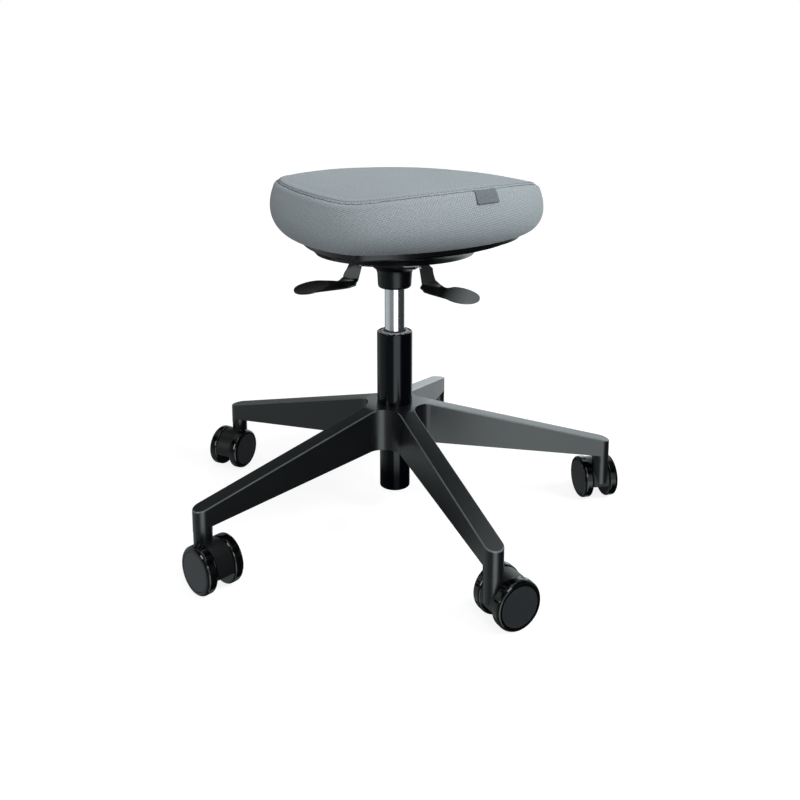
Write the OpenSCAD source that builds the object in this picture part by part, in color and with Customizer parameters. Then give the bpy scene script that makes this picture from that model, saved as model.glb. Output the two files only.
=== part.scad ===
// Rolling stool with a gas-lift column, a five-armed base and twin-wheel casters.
// The padded seat is a rounded triangle whose nose is the front, towards -Y.
// Origin: on the floor, on the axis of the column. +Z is up. All lengths are in millimetres.

/* [Casters] */
// Number of arms, each with one caster
arms = 5; // [5:1:5]
// Wheel diameter
wheel_d = 60; // [54:1:62]
// Width of one wheel
wheel_w = 13.6; // [11:0.1:15]
// Radius of the rolled outer edge of a wheel
wheel_edge = 4.5; // [3:0.1:5.5]
// Distance from the swivel axis back to the wheel axle
caster_trail = 19; // [17:0.5:22]
// Height of the arm tips' lower ends above the floor
caster_h = 66; // [65:1:75]
// Radius of the hood that fills the space between the wheels
hood_r = 28.5; // [25:0.5:29]
// Height of the hood's open underside above the floor
hood_floor = 24.5; // [20:0.5:25]
// Diameter of the swivel collar
collar_d = 23.2; // [20:0.1:24]
// Height of the collar's lower end above the floor
collar_floor = 30; // [26:1:34]
// Diameter of the wheel axle
axle_d = 7; // [6:0.5:8]
// Diameter of the swivel stem
stem_d = 11; // [10:0.5:12]
// Length of the stem inside the arm tip
stem_in_arm = 24; // [18:1:27]
// Length of the stem inside the collar
stem_in_collar = 15; // [10:1:20]
// Heading of the casters at rest, counted from the arm outwards
caster_turn = 97; // [0:1:359]

/* [Base] */
// Radius from the column to the swivel axes
base_radius = 302; // [260:1:330]
// Width of an arm and diameter of the post at its tip
arm_w = 23.8; // [22:0.1:27]
// Height of the hub's top above the floor
hub_top = 160; // [150:1:175]
// Height of the hub's underside above the floor
hub_bottom = 101.5; // [95:0.5:110]
// Height of the arm's top surface above the floor at the swivel axis
tip_top = 97.4; // [95:0.1:105]
// Depth of an arm at the swivel axis
arm_tip_depth = 24.5; // [20:0.5:28]
// Radius of the hollow corners between the arms
crotch_r = 25; // [18:1:32]
// Thickness of the arm's skin round its hollow underside
arm_skin = 4; // [3:0.5:6]
// Turn of the base under the seat at rest
base_turn = 3.5; // [0:0.5:71]

/* [Column] */
// Diameter of the column's upper tube
tube_d = 50; // [48:0.5:54]
// Diameter of the column below the hub
tube_low_d = 43; // [40:0.5:45]
// Wall of the column tube
tube_wall = 2; // [1.5:0.1:3]
// Height of the tube's upper end above the floor
tube_top = 263.5; // [250:0.5:290]
// Height of the tube's lower end above the floor
tube_foot = 34; // [30:1:44]
// Diameter of the gas cylinder
cylinder_d = 28; // [26:0.5:30]
// Length of gas cylinder in view between tube and socket at rest
cylinder_shown = 62.5; // [58:0.5:80]
// Travel of the seat below its rest height
lift_down = 50; // [30:1:52]
// Travel of the seat above its rest height
lift_up = 80; // [40:1:84]
// Diameter of the piston rod
rod_d = 10; // [8:0.5:12]
// Diameter of the valve pin
valve_d = 6; // [5:0.5:7]

/* [Mechanism] */
// Diameter of the socket at its upper end
socket_d = 49; // [44:0.5:54]
// Diameter of the socket at its lower end
socket_low_d = 47; // [42:0.5:52]
// Height of the socket round the cylinder's tapered end
socket_h = 26; // [24:1:34]
// Rounding of the socket's lower edge
socket_round = 4.5; // [2:0.5:6]
// Diameter of the flare where the socket meets the housing
flare_d = 74; // [60:1:78]
// Height of that flare
flare_h = 9; // [6:1:12]
// Thickness of the housing's and frame's steel
steel_t = 3; // [2:0.5:3.5]
// Width of the mechanism housing
housing_w = 84; // [80:1:86]
// Length of the mechanism housing from front to rear
housing_l = 80; // [76:1:84]
// Height of the seat board's underside over the housing's underside
mechanism_h = 32; // [30:1:38]
// Distance of the tilt pivot behind the column
pivot_back = 16; // [15:0.5:18]
// Height of the tilt pivot over the housing's underside
pivot_h = 11; // [10.5:0.5:12]
// Diameter of the tilt shaft
tilt_shaft_d = 8; // [7:0.5:9]
// Seat tilt, nose down, from rest
tilt_forward = 6; // [2:0.5:6]
// Seat tilt, nose up, from rest
tilt_back = 4; // [2:0.5:5]

/* [Levers] */
// Thickness of the levers' sheet steel
lever_t = 3; // [2:0.5:3.5]
// Diameter of the levers' shafts
lever_shaft_d = 6; // [5:0.5:7]
// Height of the lever shafts over the housing's underside
lever_shaft_h = 8; // [7.5:0.5:9]
// Width of a lever's upright strip
strip_w = 19; // [15:0.5:22]
// Length of a lever's oval paddle
paddle_l = 52; // [45:1:60]
// Width of a lever's oval paddle
paddle_w = 39; // [32:1:44]
// Drop from the lever shafts to the bend above the paddle
lever_drop = 27; // [22:0.5:32]
// Forward slope of the paddles
paddle_pitch = 17.5; // [8:0.5:22]
// Outward slope of the paddles
paddle_roll = 9.5; // [4:0.5:14]
// Distance from the column to the lift lever's strip at its shaft
lift_strip_x = 39.5; // [36:0.5:46]
// Outward lean of the lift lever's strip
lift_lean = 15; // [5:1:20]
// Distance from the column to the lift lever's tip
lift_tip_x = 126; // [120:1:140]
// Distance of the lift lever's face in front of the housing
lift_stand_off = 9; // [6:0.5:14]
// Distance from the column to the lift lever's shaft
lift_shaft_x = 25; // [22:0.5:28]
// Distance from the column to the tilt lever's strip at its shaft
tilt_strip_x = 57.5; // [52:0.5:60]
// Outward lean of the tilt lever's strip
tilt_lean = 9; // [5:1:18]
// Distance from the column to the tilt lever's tip
tilt_tip_x = 131; // [126:1:145]
// Distance of the tilt lever's face in front of the housing
tilt_stand_off = 4; // [3.5:0.5:6]
// Distance from the column to the tilt lever's shaft
release_shaft_x = 30; // [28:0.5:32]

/* [Seat] */
// Mean half width of the seat, measured at its seam
seat_half = 183; // [165:1:205]
// Distance of the seat's middle behind the column
seat_setback = 24; // [10:1:30]
// Growth of the outline towards the nose and the two rear corners, as a share of the half width
seat_corner_share = 0.071; // [0.035:0.001:0.073]
// Mean height of the seam over the cushion's underside
seam_h = 69; // [60:1:85]
// Rise of the seam from rear to nose
seam_slope = 5.4; // [0:0.1:10]
// Rise of the seam at the flanks
seam_flank = 4.8; // [0:0.1:8]
// Dip of the seam at the nose and rear corners
seam_dip = 4.1; // [0:0.1:6]
// Height of the crown over the cushion's underside
crown_h = 93; // [88:1:110]
// How far the side swells out beyond the seam
side_swell = 11; // [5:0.5:16]
// Height from the widest line up to the seam
swell_drop = 35; // [25:1:42]
// Mean inset of the cover's lower edge from the seam
lower_inset = 23; // [18:0.5:30]
// How much less that inset is at the nose and corners, as a share of the half width
lower_corner_share = 0.0295; // [0:0.0005:0.03]
// Thickness of the cover
cover_t = 1.6; // [1.2:0.1:2.5]
// Thickness of the seat board
board_t = 5; // [4:0.5:7]
// Width of the sewn-in tag
tag_w = 44; // [30:1:50]
// Height of the tag below the seam
tag_h = 16; // [12:1:20]

/* [Seat pan] */
// Radius of the dish in the middle of the pan, as a share of the seat's half width
dish_share = 0.605; // [0.57:0.005:0.62]
// Radius of the opening round the mechanism
opening_r = 80; // [78:1:84]
// Depth of the dish below the seat board
dish_h = 16.5; // [14:0.5:18]
// Depth of the pan's wing below the seat board at its rim
wing_h = 2.5; // [2.5:0.1:5]
// Wall of the pan
pan_wall = 2.2; // [1.8:0.1:2.4]

/* [Hidden] */
CASTER_PARTS = ["housing", "stem", "axle", "wheel_left", "wheel_right", "cap_left", "cap_right"];
$fn = 64;

// Clearances
running_gap = 0.08;
slide_gap = 0.05;
seat_gap = 0.3;
wheel_side_gap = 0.5;
cut = 1;

// Casters
wheel_r = wheel_d / 2;
wheel_in = collar_d / 2 + wheel_side_gap;
wheel_out = wheel_in + wheel_w;
wheel_inner_edge = wheel_edge * 0.6;
cap_r = wheel_r - wheel_edge - 1.5 * steel_t / 3;
cap_t = wheel_w * 0.22;
hood_w = 2 * (wheel_in - wheel_side_gap);
axle_half = wheel_out - cap_t - seat_gap;
stem_groove = stem_d * 0.08;
edge_steps = 5;

// Base
arm_pitch = 360 / arms;
half_pitch = arm_pitch / 2;
crotch_step = crotch_r * 0.006;
crotch_d = (crotch_r + crotch_step + arm_w / 2) / sin(half_pitch);
shoulder_r = crotch_d * cos(half_pitch);
shoulder_drop = shoulder_r * 0.035;
arm_end_r = base_radius + arm_w / 2;
arm_slope = (hub_top - shoulder_drop - tip_top) / (base_radius - shoulder_r);
tip_under = tip_top - arm_tip_depth;
under_slope = (hub_bottom - tip_under) / (base_radius - shoulder_r);
post_low = caster_h + seat_gap;
channel_start = shoulder_r + arm_skin * 4;
channel_end = base_radius - arm_w / 2 - arm_skin * 2;
channel_bays = 3;
channel_half = arm_w / 2 - arm_skin;

// Column
tube_r = tube_d / 2;
tube_low_r = tube_low_d / 2;
taper_inset = (hub_top - hub_bottom) * 0.08;
taper_top = hub_top - taper_inset;
taper_low = hub_bottom + taper_inset;
tube_plate_z = tube_foot + tube_wall * 4;
tube_plate_t = tube_wall * 1.5;
rod_r = rod_d / 2;
bearing_z = tube_plate_z + tube_plate_t;
bearing_h = rod_r * 0.6;
collar_z = bearing_z + bearing_h;
collar_h = rod_r * 0.6;
cylinder_r = cylinder_d / 2;
cylinder_bottom = collar_z + collar_h + rod_r * 1.8 + lift_down;
cylinder_end_t = rod_r * 2.4;
piston_z = cylinder_bottom + cylinder_end_t + lift_up + rod_r * 0.2;
piston_h = rod_r * 2.4;
cylinder_wall = cylinder_r * 0.14;
socket_z = tube_top + cylinder_shown;
socket_top = socket_z + socket_h;
cylinder_taper = cylinder_r * 0.07;
cylinder_top = socket_top + flare_h * 0.45;
cavity_top = socket_z + cylinder_r * 0.4;
bush_h = cylinder_d * 2.5;
bush_recess = tube_wall * 0.5;
valve_r = valve_d / 2;

// Mechanism
housing_z = socket_top + flare_h;
board_z = housing_z + mechanism_h;
cushion_z = board_z + board_t;
frame_z = board_z - steel_t;
floor_top = housing_z + steel_t;
pivot_z = housing_z + pivot_h;
ear_r = tilt_shaft_d / 2 + steel_t * 2;
bush_r = tilt_shaft_d / 2 + steel_t;
bush_l = steel_t * 5;
housing_half = housing_w / 2;
housing_front = -housing_l / 2;
side_wall_top = floor_top + steel_t * 4;
cross_wall_top = housing_z + lever_shaft_h + lever_shaft_d;
inner_wall_y = pivot_back - bush_r - steel_t - seat_gap * 1.5;
ear_in = housing_half + steel_t / 3;
ear_out = ear_in + steel_t;
frame_half = housing_half + steel_t * 8;
frame_front = -housing_l * 0.55;
frame_rear = housing_l * 0.875;
screw_r = steel_t;
screw_x = frame_half - screw_r * 3.4;
screw_front = frame_front + screw_r * 2.8;
screw_rear = frame_rear - screw_r * 3.3;
screw_in_board = board_t * 0.8;
buffer_r = steel_t * 1.5;
buffer_front_x = steel_t * 4.3;
buffer_rear_x = housing_half - steel_t * 4;
buffer_front = housing_front + steel_t + buffer_r + seat_gap;
buffer_rear = -housing_front - buffer_r;
buffer_room = frame_z - pivot_z - seat_gap;
buffer_front_top = pivot_z + buffer_room * cos(tilt_forward)
    - (pivot_back - buffer_front + buffer_r) * sin(tilt_forward);
buffer_rear_top = pivot_z + buffer_room * cos(tilt_back) - (buffer_rear + buffer_r - pivot_back) * sin(tilt_back);
brake_x = release_shaft_x * 0.3;
brake_t = steel_t * 0.7;
brake_front = housing_front * 0.5;
brake_l = housing_l * 0.2;
brake_low = pivot_z - steel_t * 0.3;

// Levers
lift_front = lift_stand_off - housing_front;
tilt_front = tilt_stand_off - housing_front;
shaft_z = housing_z + lever_shaft_h;
shaft_r = lever_shaft_d / 2;
shaft_rear = inner_wall_y + steel_t + seat_gap;
lug_r = shaft_r * 2.4;
cam_half = shaft_r * 1.3;
cam_hub_r = lever_shaft_h - steel_t - seat_gap - running_gap;
cam_h = shaft_r * 1.3;
cam_reach = valve_r * 1.3;
valve_top = shaft_z - shaft_r - seat_gap * 1.4;
valve_low = cavity_top + valve_r;
bend_z = shaft_z - lever_drop;
strip_top = shaft_z;
oval_a = paddle_l / 2;
oval_b = paddle_w / 2;
neck_w = paddle_w * 0.33;

// Seat
dish_r = seat_half * dish_share;
seat_corner = seat_half * seat_corner_share;
lower_corner = seat_half * lower_corner_share;
seat_steps = 36;
crown_power = 2.4;
seam_groove = cover_t * 0.6;
seam_lip = cover_t * 1.4;
swell_end = 60;
lower_angles = [0, 18, 36, 54, 72, 90];
upper_angles = [28, 48];
crown_shares = [0.96, 0.86, 0.7, 0.5, 0.25];
foam_gap = seat_gap;
tag_t = cover_t * 0.6;
tag_angle = 58;
tag_columns = 8;
tag_rows = 4;
pan_rim_gap = cover_t;
board_gap = seat_gap * 2;
boss_r = pan_wall * 2;
pan_screw_r = pan_wall * 0.9;
pan_screw_ring = (dish_r + opening_r) / 2 - pan_wall;
pan_screws_count = 6;
wing_shares = [0.35, 0.75];

// Height of the arm's top surface and underside at a radius
function arm_top(r) = hub_top - shoulder_drop - (r - shoulder_r) * arm_slope;
function arm_under(r) = hub_bottom - (r - shoulder_r) * under_slope;

// Support function of the seat's seam and its slope per radian. Angle 0 is the nose.
function seam_reach(t) = seat_half - seat_setback * cos(t) + seat_corner * cos(3 * t);
function seam_reach_slope(t) = seat_setback * sin(t) - 3 * seat_corner * sin(3 * t);

// Height of the seam
function seam_z(t) = cushion_z + seam_h + seam_slope * cos(t)
    - seam_flank * cos(2 * t) - seam_dip * cos(3 * t);
function swell_z(t) = seam_z(t) - swell_drop;

// A point at a reach along direction t, where slope is the reach's change per radian
function outline_point(t, reach, slope, z) = [
    reach * sin(t) + slope * cos(t),
    -(reach * cos(t) - slope * sin(t)),
    z
];

// A point of the cushion's outline, inset from the seam, with an extra inset that eases at the corners
function cushion_point(t, inset, ease, z) = outline_point(
    t,
    seam_reach(t) - inset + ease * cos(3 * t),
    seam_reach_slope(t) - 3 * ease * sin(3 * t),
    z
);

// Rings of the cushion below and above its widest line, moved inwards by off
function lower_ring(a, off) = [
    for (j = [0:seat_steps - 1])
        let (t = 360 * j / seat_steps, s = sin(a))
        cushion_point(
            t,
            lower_inset * (1 - s) - side_swell * s + off,
            lower_corner * (1 - s),
            cushion_z + (swell_z(t) - cushion_z) * (1 - cos(a))
        )
];
function upper_point(t, a, off) = cushion_point(
    t,
    off - side_swell * (cos(a) - cos(swell_end)) / (1 - cos(swell_end)),
    0,
    swell_z(t) + swell_drop * sin(a) / sin(swell_end)
);
function upper_ring(a, off) = [for (j = [0:seat_steps - 1]) upper_point(360 * j / seat_steps, a, off)];
function seam_ring(inset, rise) = [
    for (j = [0:seat_steps - 1])
        let (t = 360 * j / seat_steps)
        cushion_point(t, inset, 0, seam_z(t) + rise)
];
function crown_z(t, s) = cushion_z + crown_h + (seam_z(t) - cushion_z - crown_h) * pow(s, crown_power);
function crown_ring(s, off) = [
    for (j = [0:seat_steps - 1])
        let (t = 360 * j / seat_steps, p = cushion_point(t, off, 0, 0))
        [p.x * s, p.y * s, crown_z(t, s) - off]
];
function side_rings(off) = concat(
    [for (a = lower_angles) lower_ring(a, off)],
    [for (a = upper_angles) upper_ring(a, off)]
);
function plain_rings(off) = concat(
    side_rings(off),
    [seam_ring(off + seam_groove, -off / 2)],
    [for (s = crown_shares) crown_ring(s, off)]
);
function sewn_rings() = concat(
    side_rings(0),
    [seam_ring(-seam_groove, -seam_lip), seam_ring(seam_groove, 0), seam_ring(seam_groove, seam_lip / 2)],
    [for (s = crown_shares) crown_ring(s, 0)]
);

// Faces between stacked rings of n points, starting at point number first
function band_faces(rings, n, first, flip) = [
    for (i = [0:rings - 2]) for (j = [0:n - 1])
        let (
            a = first + i * n + j,
            b = first + i * n + (j + 1) % n,
            c = a + n,
            d = b + n
        )
        for (f = flip ? [[a, b, d], [a, d, c]] : [[a, d, b], [a, c, d]]) f
];
function fan_faces(n, first, centre, flip) = [
    for (j = [0:n - 1])
        let (a = first + j, b = first + (j + 1) % n)
        flip ? [b, a, centre] : [a, b, centre]
];
function all_points(rings) = [for (ring = rings) for (p = ring) p];

// Solid over stacked rings, closed below and above by fans
module ring_solid(rings, low_centre, high_centre) {
    n = len(rings[0]);
    count = len(rings) * n;
    polyhedron(
        points = concat(all_points(rings), [low_centre, high_centre]),
        faces = concat(
            band_faces(len(rings), n, 0, false),
            fan_faces(n, 0, count, false),
            fan_faces(n, count - n, count + 1, true)
        )
    );
}

// Hollow skin between outer and inner rings, open below
module ring_shell(outer, inner, outer_top, inner_top) {
    n = len(outer[0]);
    outer_count = len(outer) * n;
    inner_first = outer_count + 1;
    inner_count = len(inner) * n;
    polyhedron(
        points = concat(all_points(outer), [outer_top], all_points(inner), [inner_top]),
        faces = concat(
            band_faces(len(outer), n, 0, false),
            fan_faces(n, outer_count - n, outer_count, true),
            band_faces(len(inner), n, inner_first, true),
            fan_faces(n, inner_first + inner_count - n, inner_first + inner_count, false),
            [
                for (j = [0:n - 1])
                    let (a = j, b = (j + 1) % n, c = inner_first + a, d = inner_first + b)
                    for (f = [[a, b, d], [a, d, c]]) f
            ]
        )
    );
}

// Skin over rings that close on themselves, like a bent tube
module ring_loop(rings) {
    n = len(rings[0]);
    closed = concat(rings, [rings[0]]);
    last = len(rings) * n;
    faces = [for (f = band_faces(len(closed), n, 0, false)) [for (i = f) i % last]];
    polyhedron(points = all_points(rings), faces = faces);
}

// Plan of the five arms with hollow corners between them
module star_plan() {
    difference() {
        union() {
            for (k = [0:arms - 1]) {
                rotate(k * arm_pitch) {
                    translate([0, -arm_w / 2])
                        square([base_radius, arm_w]);
                    translate([base_radius, 0])
                        circle(d = arm_w);
                    polygon([
                        [0, 0],
                        [shoulder_r, arm_w / 2],
                        crotch_d * [cos(half_pitch), sin(half_pitch)],
                        [shoulder_r * cos(arm_pitch) + arm_w / 2 * sin(arm_pitch),
                         shoulder_r * sin(arm_pitch) - arm_w / 2 * cos(arm_pitch)]
                    ]);
                }
            }
        }
        for (k = [0:arms - 1])
            rotate((k + 0.5) * arm_pitch)
                translate([crotch_d, 0])
                    circle(r = crotch_r);
    }
}

// Side view of an arm, turned round the column
module arm_profile() {
    rotate_extrude()
        polygon([
            [0, hub_bottom],
            [shoulder_r, hub_bottom],
            [arm_end_r + cut, arm_under(arm_end_r + cut)],
            [arm_end_r + cut, arm_top(arm_end_r + cut)],
            [shoulder_r, hub_top - shoulder_drop],
            [shoulder_r * 0.86, hub_top - shoulder_drop * 0.25],
            [shoulder_r * 0.72, hub_top],
            [0, hub_top]
        ]);
}

// Hollow underside of the arms, in bays between cross ribs
module arm_channels() {
    bay = (channel_end - channel_start + arm_skin) / channel_bays;
    intersection() {
        translate([0, 0, caster_h])
            linear_extrude(hub_top - caster_h)
                for (k = [0:arms - 1])
                    rotate(k * arm_pitch)
                        for (j = [0:channel_bays - 1])
                            translate([channel_start + j * bay, -channel_half])
                                square([bay - arm_skin, channel_half * 2]);
        rotate_extrude()
            polygon([
                [channel_start, caster_h],
                [channel_end, caster_h],
                [channel_end, arm_top(channel_end) - arm_skin],
                [channel_start, arm_top(channel_start) - arm_skin]
            ]);
    }
}

// Outer form of the column tube, grown by gap
module column_form(gap) {
    rotate_extrude()
        polygon([
            [0, tube_foot],
            [tube_low_r + gap - tube_wall / 2, tube_foot],
            [tube_low_r + gap, tube_foot + tube_wall / 2],
            [tube_low_r + gap, taper_low],
            [tube_r + gap, taper_top],
            [tube_r + gap, tube_top - tube_wall / 2],
            [tube_r + gap - tube_wall / 2, tube_top],
            [0, tube_top]
        ]);
}

module base_star() {
    color([0.17, 0.18, 0.19])
        rotate(base_turn - 90 + half_pitch)
            difference() {
                union() {
                    intersection() {
                        translate([0, 0, caster_h])
                            linear_extrude(hub_top - caster_h + cut)
                                star_plan();
                        arm_profile();
                    }
                    for (k = [0:arms - 1])
                        rotate(k * arm_pitch)
                            translate([base_radius, 0, post_low])
                                cylinder(d = arm_w, h = tip_under + arm_skin - post_low);
                }
                column_form(slide_gap);
                arm_channels();
                for (k = [0:arms - 1])
                    rotate(k * arm_pitch)
                        translate([base_radius, 0, caster_h - cut])
                            cylinder(d = stem_d + 2 * running_gap, h = stem_in_arm + cut + seat_gap);
            }
}

module column_tube() {
    color([0.06, 0.06, 0.07])
        difference() {
            column_form(0);
            rotate_extrude()
                polygon([
                    [0, bearing_z],
                    [tube_low_r - tube_wall, bearing_z],
                    [tube_low_r - tube_wall, taper_low],
                    [tube_r - tube_wall, taper_top],
                    [tube_r - tube_wall, tube_top + cut],
                    [0, tube_top + cut]
                ]);
            translate([0, 0, tube_foot - cut])
                cylinder(r = tube_low_r - tube_wall, h = tube_plate_z - tube_foot + cut);
            translate([0, 0, tube_foot])
                cylinder(r = rod_r + running_gap, h = bearing_z - tube_foot + cut);
        }
}

module guide_bush() {
    color([0.55, 0.56, 0.58])
        translate([0, 0, tube_top - bush_recess - bush_h])
            difference() {
                cylinder(r = tube_r - tube_wall - slide_gap, h = bush_h);
                translate([0, 0, -cut])
                    cylinder(r = cylinder_r + running_gap, h = bush_h + 2 * cut);
            }
}

module thrust_bearing() {
    color([0.6, 0.6, 0.62])
        translate([0, 0, bearing_z])
            difference() {
                cylinder(r = rod_r * 2.4, h = bearing_h);
                translate([0, 0, -cut])
                    cylinder(r = rod_r + running_gap, h = bearing_h + 2 * cut);
            }
}

module retaining_clip() {
    color([0.3, 0.3, 0.32])
        translate([0, 0, tube_plate_z - seat_gap - rod_r * 0.3])
            difference() {
                cylinder(r = rod_r * 1.8, h = rod_r * 0.3);
                translate([0, 0, -cut])
                    cylinder(r = rod_r * 0.84, h = rod_r * 0.3 + 2 * cut);
                translate([0, -rod_r * 0.7, -cut])
                    cube([rod_r * 2, rod_r * 1.4, rod_r * 0.3 + 2 * cut]);
            }
}

module piston_rod() {
    clip_top = tube_plate_z - seat_gap;
    clip_low = clip_top - rod_r * 0.3;
    rod_low = clip_low - rod_r * 0.4;
    color([0.75, 0.76, 0.78])
        rotate_extrude()
            polygon([
                [0, rod_low],
                [rod_r * 0.8, rod_low],
                [rod_r, rod_low + rod_r * 0.2],
                [rod_r, clip_low],
                [rod_r * 0.84, clip_low],
                [rod_r * 0.84, clip_top],
                [rod_r, clip_top],
                [rod_r, collar_z],
                [rod_r * 1.6, collar_z],
                [rod_r * 1.6, collar_z + collar_h],
                [rod_r, collar_z + collar_h],
                [rod_r, piston_z],
                [cylinder_r - cylinder_wall - running_gap, piston_z],
                [cylinder_r - cylinder_wall - running_gap, piston_z + piston_h],
                [0, piston_z + piston_h]
            ]);
}

module gas_cylinder() {
    inner = cylinder_r - cylinder_wall;
    color([0.8, 0.81, 0.83])
        difference() {
            rotate_extrude()
                polygon([
                    [0, cylinder_bottom],
                    [cylinder_r - cylinder_wall / 2, cylinder_bottom],
                    [cylinder_r, cylinder_bottom + cylinder_wall / 2],
                    [cylinder_r, socket_z],
                    [cylinder_r - cylinder_taper, socket_top],
                    [cylinder_r - cylinder_taper, cylinder_top],
                    [0, cylinder_top]
                ]);
            translate([0, 0, cylinder_bottom + cylinder_end_t])
                cylinder(r = inner, h = cavity_top - cylinder_bottom - cylinder_end_t);
            translate([0, 0, cylinder_bottom - cut])
                cylinder(r = rod_r + running_gap, h = cylinder_end_t + 2 * cut);
            translate([0, 0, cavity_top - cut])
                cylinder(r = valve_r + running_gap, h = cylinder_top - cavity_top + 2 * cut);
        }
}

module valve_pin() {
    color([0.7, 0.7, 0.72])
        translate([0, 0, valve_low])
            cylinder(r = valve_r, h = valve_top - valve_low);
}

// Socket for the cylinder, flaring into the housing's floor
module socket() {
    lip = (socket_d - socket_low_d) / 2 + cylinder_taper;
    rotate_extrude()
        polygon(concat(
            [[0, socket_z]],
            [
                for (i = [0:edge_steps])
                    let (a = 90 * i / edge_steps)
                    [socket_low_d / 2 - socket_round * (1 - sin(a)), socket_z + socket_round * (1 - cos(a))]
            ],
            [
                [socket_d / 2, socket_top - flare_h * 0.5],
                [socket_d / 2 + lip * 0.8, socket_top],
                [flare_d / 2, housing_z],
                [flare_d / 2, floor_top],
                [0, floor_top]
            ]
        ));
}

// Cut for the cylinder's tapered end
module socket_bore() {
    rotate_extrude()
        polygon([
            [0, socket_z - cut],
            [cylinder_r + slide_gap, socket_z - cut],
            [cylinder_r + slide_gap, socket_z],
            [cylinder_r - cylinder_taper + slide_gap, socket_top],
            [cylinder_r - cylinder_taper + slide_gap, floor_top + cut],
            [0, floor_top + cut]
        ]);
}

module mechanism_base() {
    color([0.1, 0.1, 0.11])
        difference() {
            union() {
                socket();
                translate([-housing_half, housing_front, housing_z])
                    cube([housing_w, housing_l, steel_t]);
                for (side = [-1, 1]) {
                    translate([side * (housing_half - steel_t / 2) - steel_t / 2, housing_front, housing_z])
                        cube([steel_t, housing_l, side_wall_top - housing_z]);
                    translate([side * (housing_half - steel_t / 2) - steel_t / 2, pivot_back, pivot_z])
                        rotate([0, 90, 0])
                            cylinder(r = ear_r, h = steel_t);
                }
                for (y = [housing_front, inner_wall_y])
                    translate([-housing_half, y, housing_z])
                        cube([housing_w, steel_t, cross_wall_top - housing_z]);
            }
            socket_bore();
            for (side = [-1, 1])
                translate([side * (housing_half - steel_t / 2) - steel_t / 2 - cut, pivot_back, pivot_z])
                    rotate([0, 90, 0])
                        cylinder(r = bush_r, h = steel_t + 2 * cut);
            for (x = [-lift_shaft_x, release_shaft_x])
                translate([x, housing_front - cut, shaft_z])
                    rotate([-90, 0, 0])
                        cylinder(r = shaft_r + running_gap, h = inner_wall_y - housing_front + steel_t + 2 * cut);
        }
}

// Rubber sleeves between the tilt shaft and the housing
module tilt_bushes() {
    color([0.05, 0.05, 0.05])
        for (side = [-1, 1])
            translate([side * (housing_half - bush_l / 2) - bush_l / 2, pivot_back, pivot_z])
                rotate([0, 90, 0])
                    difference() {
                        cylinder(r = bush_r, h = bush_l);
                        translate([0, 0, -cut])
                            cylinder(r = tilt_shaft_d / 2 + running_gap, h = bush_l + 2 * cut);
                    }
}

// Rubber stops that end the tilt
module tilt_buffers() {
    color([0.05, 0.05, 0.05])
        for (side = [-1, 1]) {
            translate([side * buffer_front_x, buffer_front, floor_top])
                cylinder(r = buffer_r, h = buffer_front_top - floor_top);
            translate([side * buffer_rear_x, buffer_rear, floor_top])
                cylinder(r = buffer_r, h = buffer_rear_top - floor_top);
        }
}

module tilt_frame() {
    color([0.12, 0.12, 0.13])
        difference() {
            union() {
                translate([-frame_half, frame_front, frame_z])
                    cube([2 * frame_half, frame_rear - frame_front, steel_t]);
                for (side = [-1, 1]) {
                    translate([side * (ear_in + steel_t / 2) - steel_t / 2, pivot_back, pivot_z])
                        rotate([0, 90, 0])
                            cylinder(r = ear_r, h = steel_t);
                    translate([side * (ear_in + steel_t / 2) - steel_t / 2, pivot_back - ear_r, pivot_z])
                        cube([steel_t, 2 * ear_r, frame_z - pivot_z + steel_t / 2]);
                }
            }
            translate([-ear_out - cut, pivot_back, pivot_z])
                rotate([0, 90, 0])
                    cylinder(d = tilt_shaft_d, h = 2 * (ear_out + cut));
            for (x = [-screw_x, screw_x]) for (y = [screw_front, screw_rear])
                translate([x, y, frame_z - cut])
                    cylinder(r = screw_r + running_gap, h = steel_t + 2 * cut);
        }
}

module tilt_shaft() {
    head_r = tilt_shaft_d * 0.8;
    color([0.7, 0.7, 0.72])
        translate([-ear_out - steel_t, pivot_back, pivot_z])
            rotate([0, 90, 0]) {
                cylinder(d = tilt_shaft_d, h = 2 * (ear_out + steel_t));
                cylinder(r = head_r, h = steel_t);
                translate([0, 0, 2 * ear_out + steel_t])
                    cylinder(r = head_r, h = steel_t);
            }
}

// Blade under the frame that the tilt lever's cam presses on
module brake_plate() {
    color([0.6, 0.6, 0.62])
        translate([brake_x, brake_front, brake_low])
            cube([brake_t, brake_l, frame_z - brake_low]);
}

// Screws through the frame into the seat board
module frame_screws() {
    color([0.35, 0.35, 0.37])
        for (x = [-screw_x, screw_x]) for (y = [screw_front, screw_rear])
            translate([x, y, frame_z - screw_r * 1.2])
                difference() {
                    union() {
                        cylinder(r = screw_r * 1.7, h = screw_r * 1.2);
                        cylinder(r = screw_r, h = screw_r * 1.2 + steel_t + screw_in_board);
                    }
                    translate([0, 0, -cut])
                        cylinder(r = screw_r * 0.8, h = screw_r * 0.6 + cut, $fn = 6);
                }
}

// Paddle seen from above: shallow neck under the strip, then a broad oval
function paddle_outline(reach) =
    let (middle = reach - oval_a)
    [
        [0, lever_t],
        [0, -neck_w],
        [strip_w * 0.85, -neck_w * 1.15],
        for (t = [240:12:480]) [middle + oval_a * cos(t), oval_b * sin(t)],
        [strip_w * 1.7, neck_w * 0.75],
        [strip_w * 1.1, lever_t]
    ];

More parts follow.
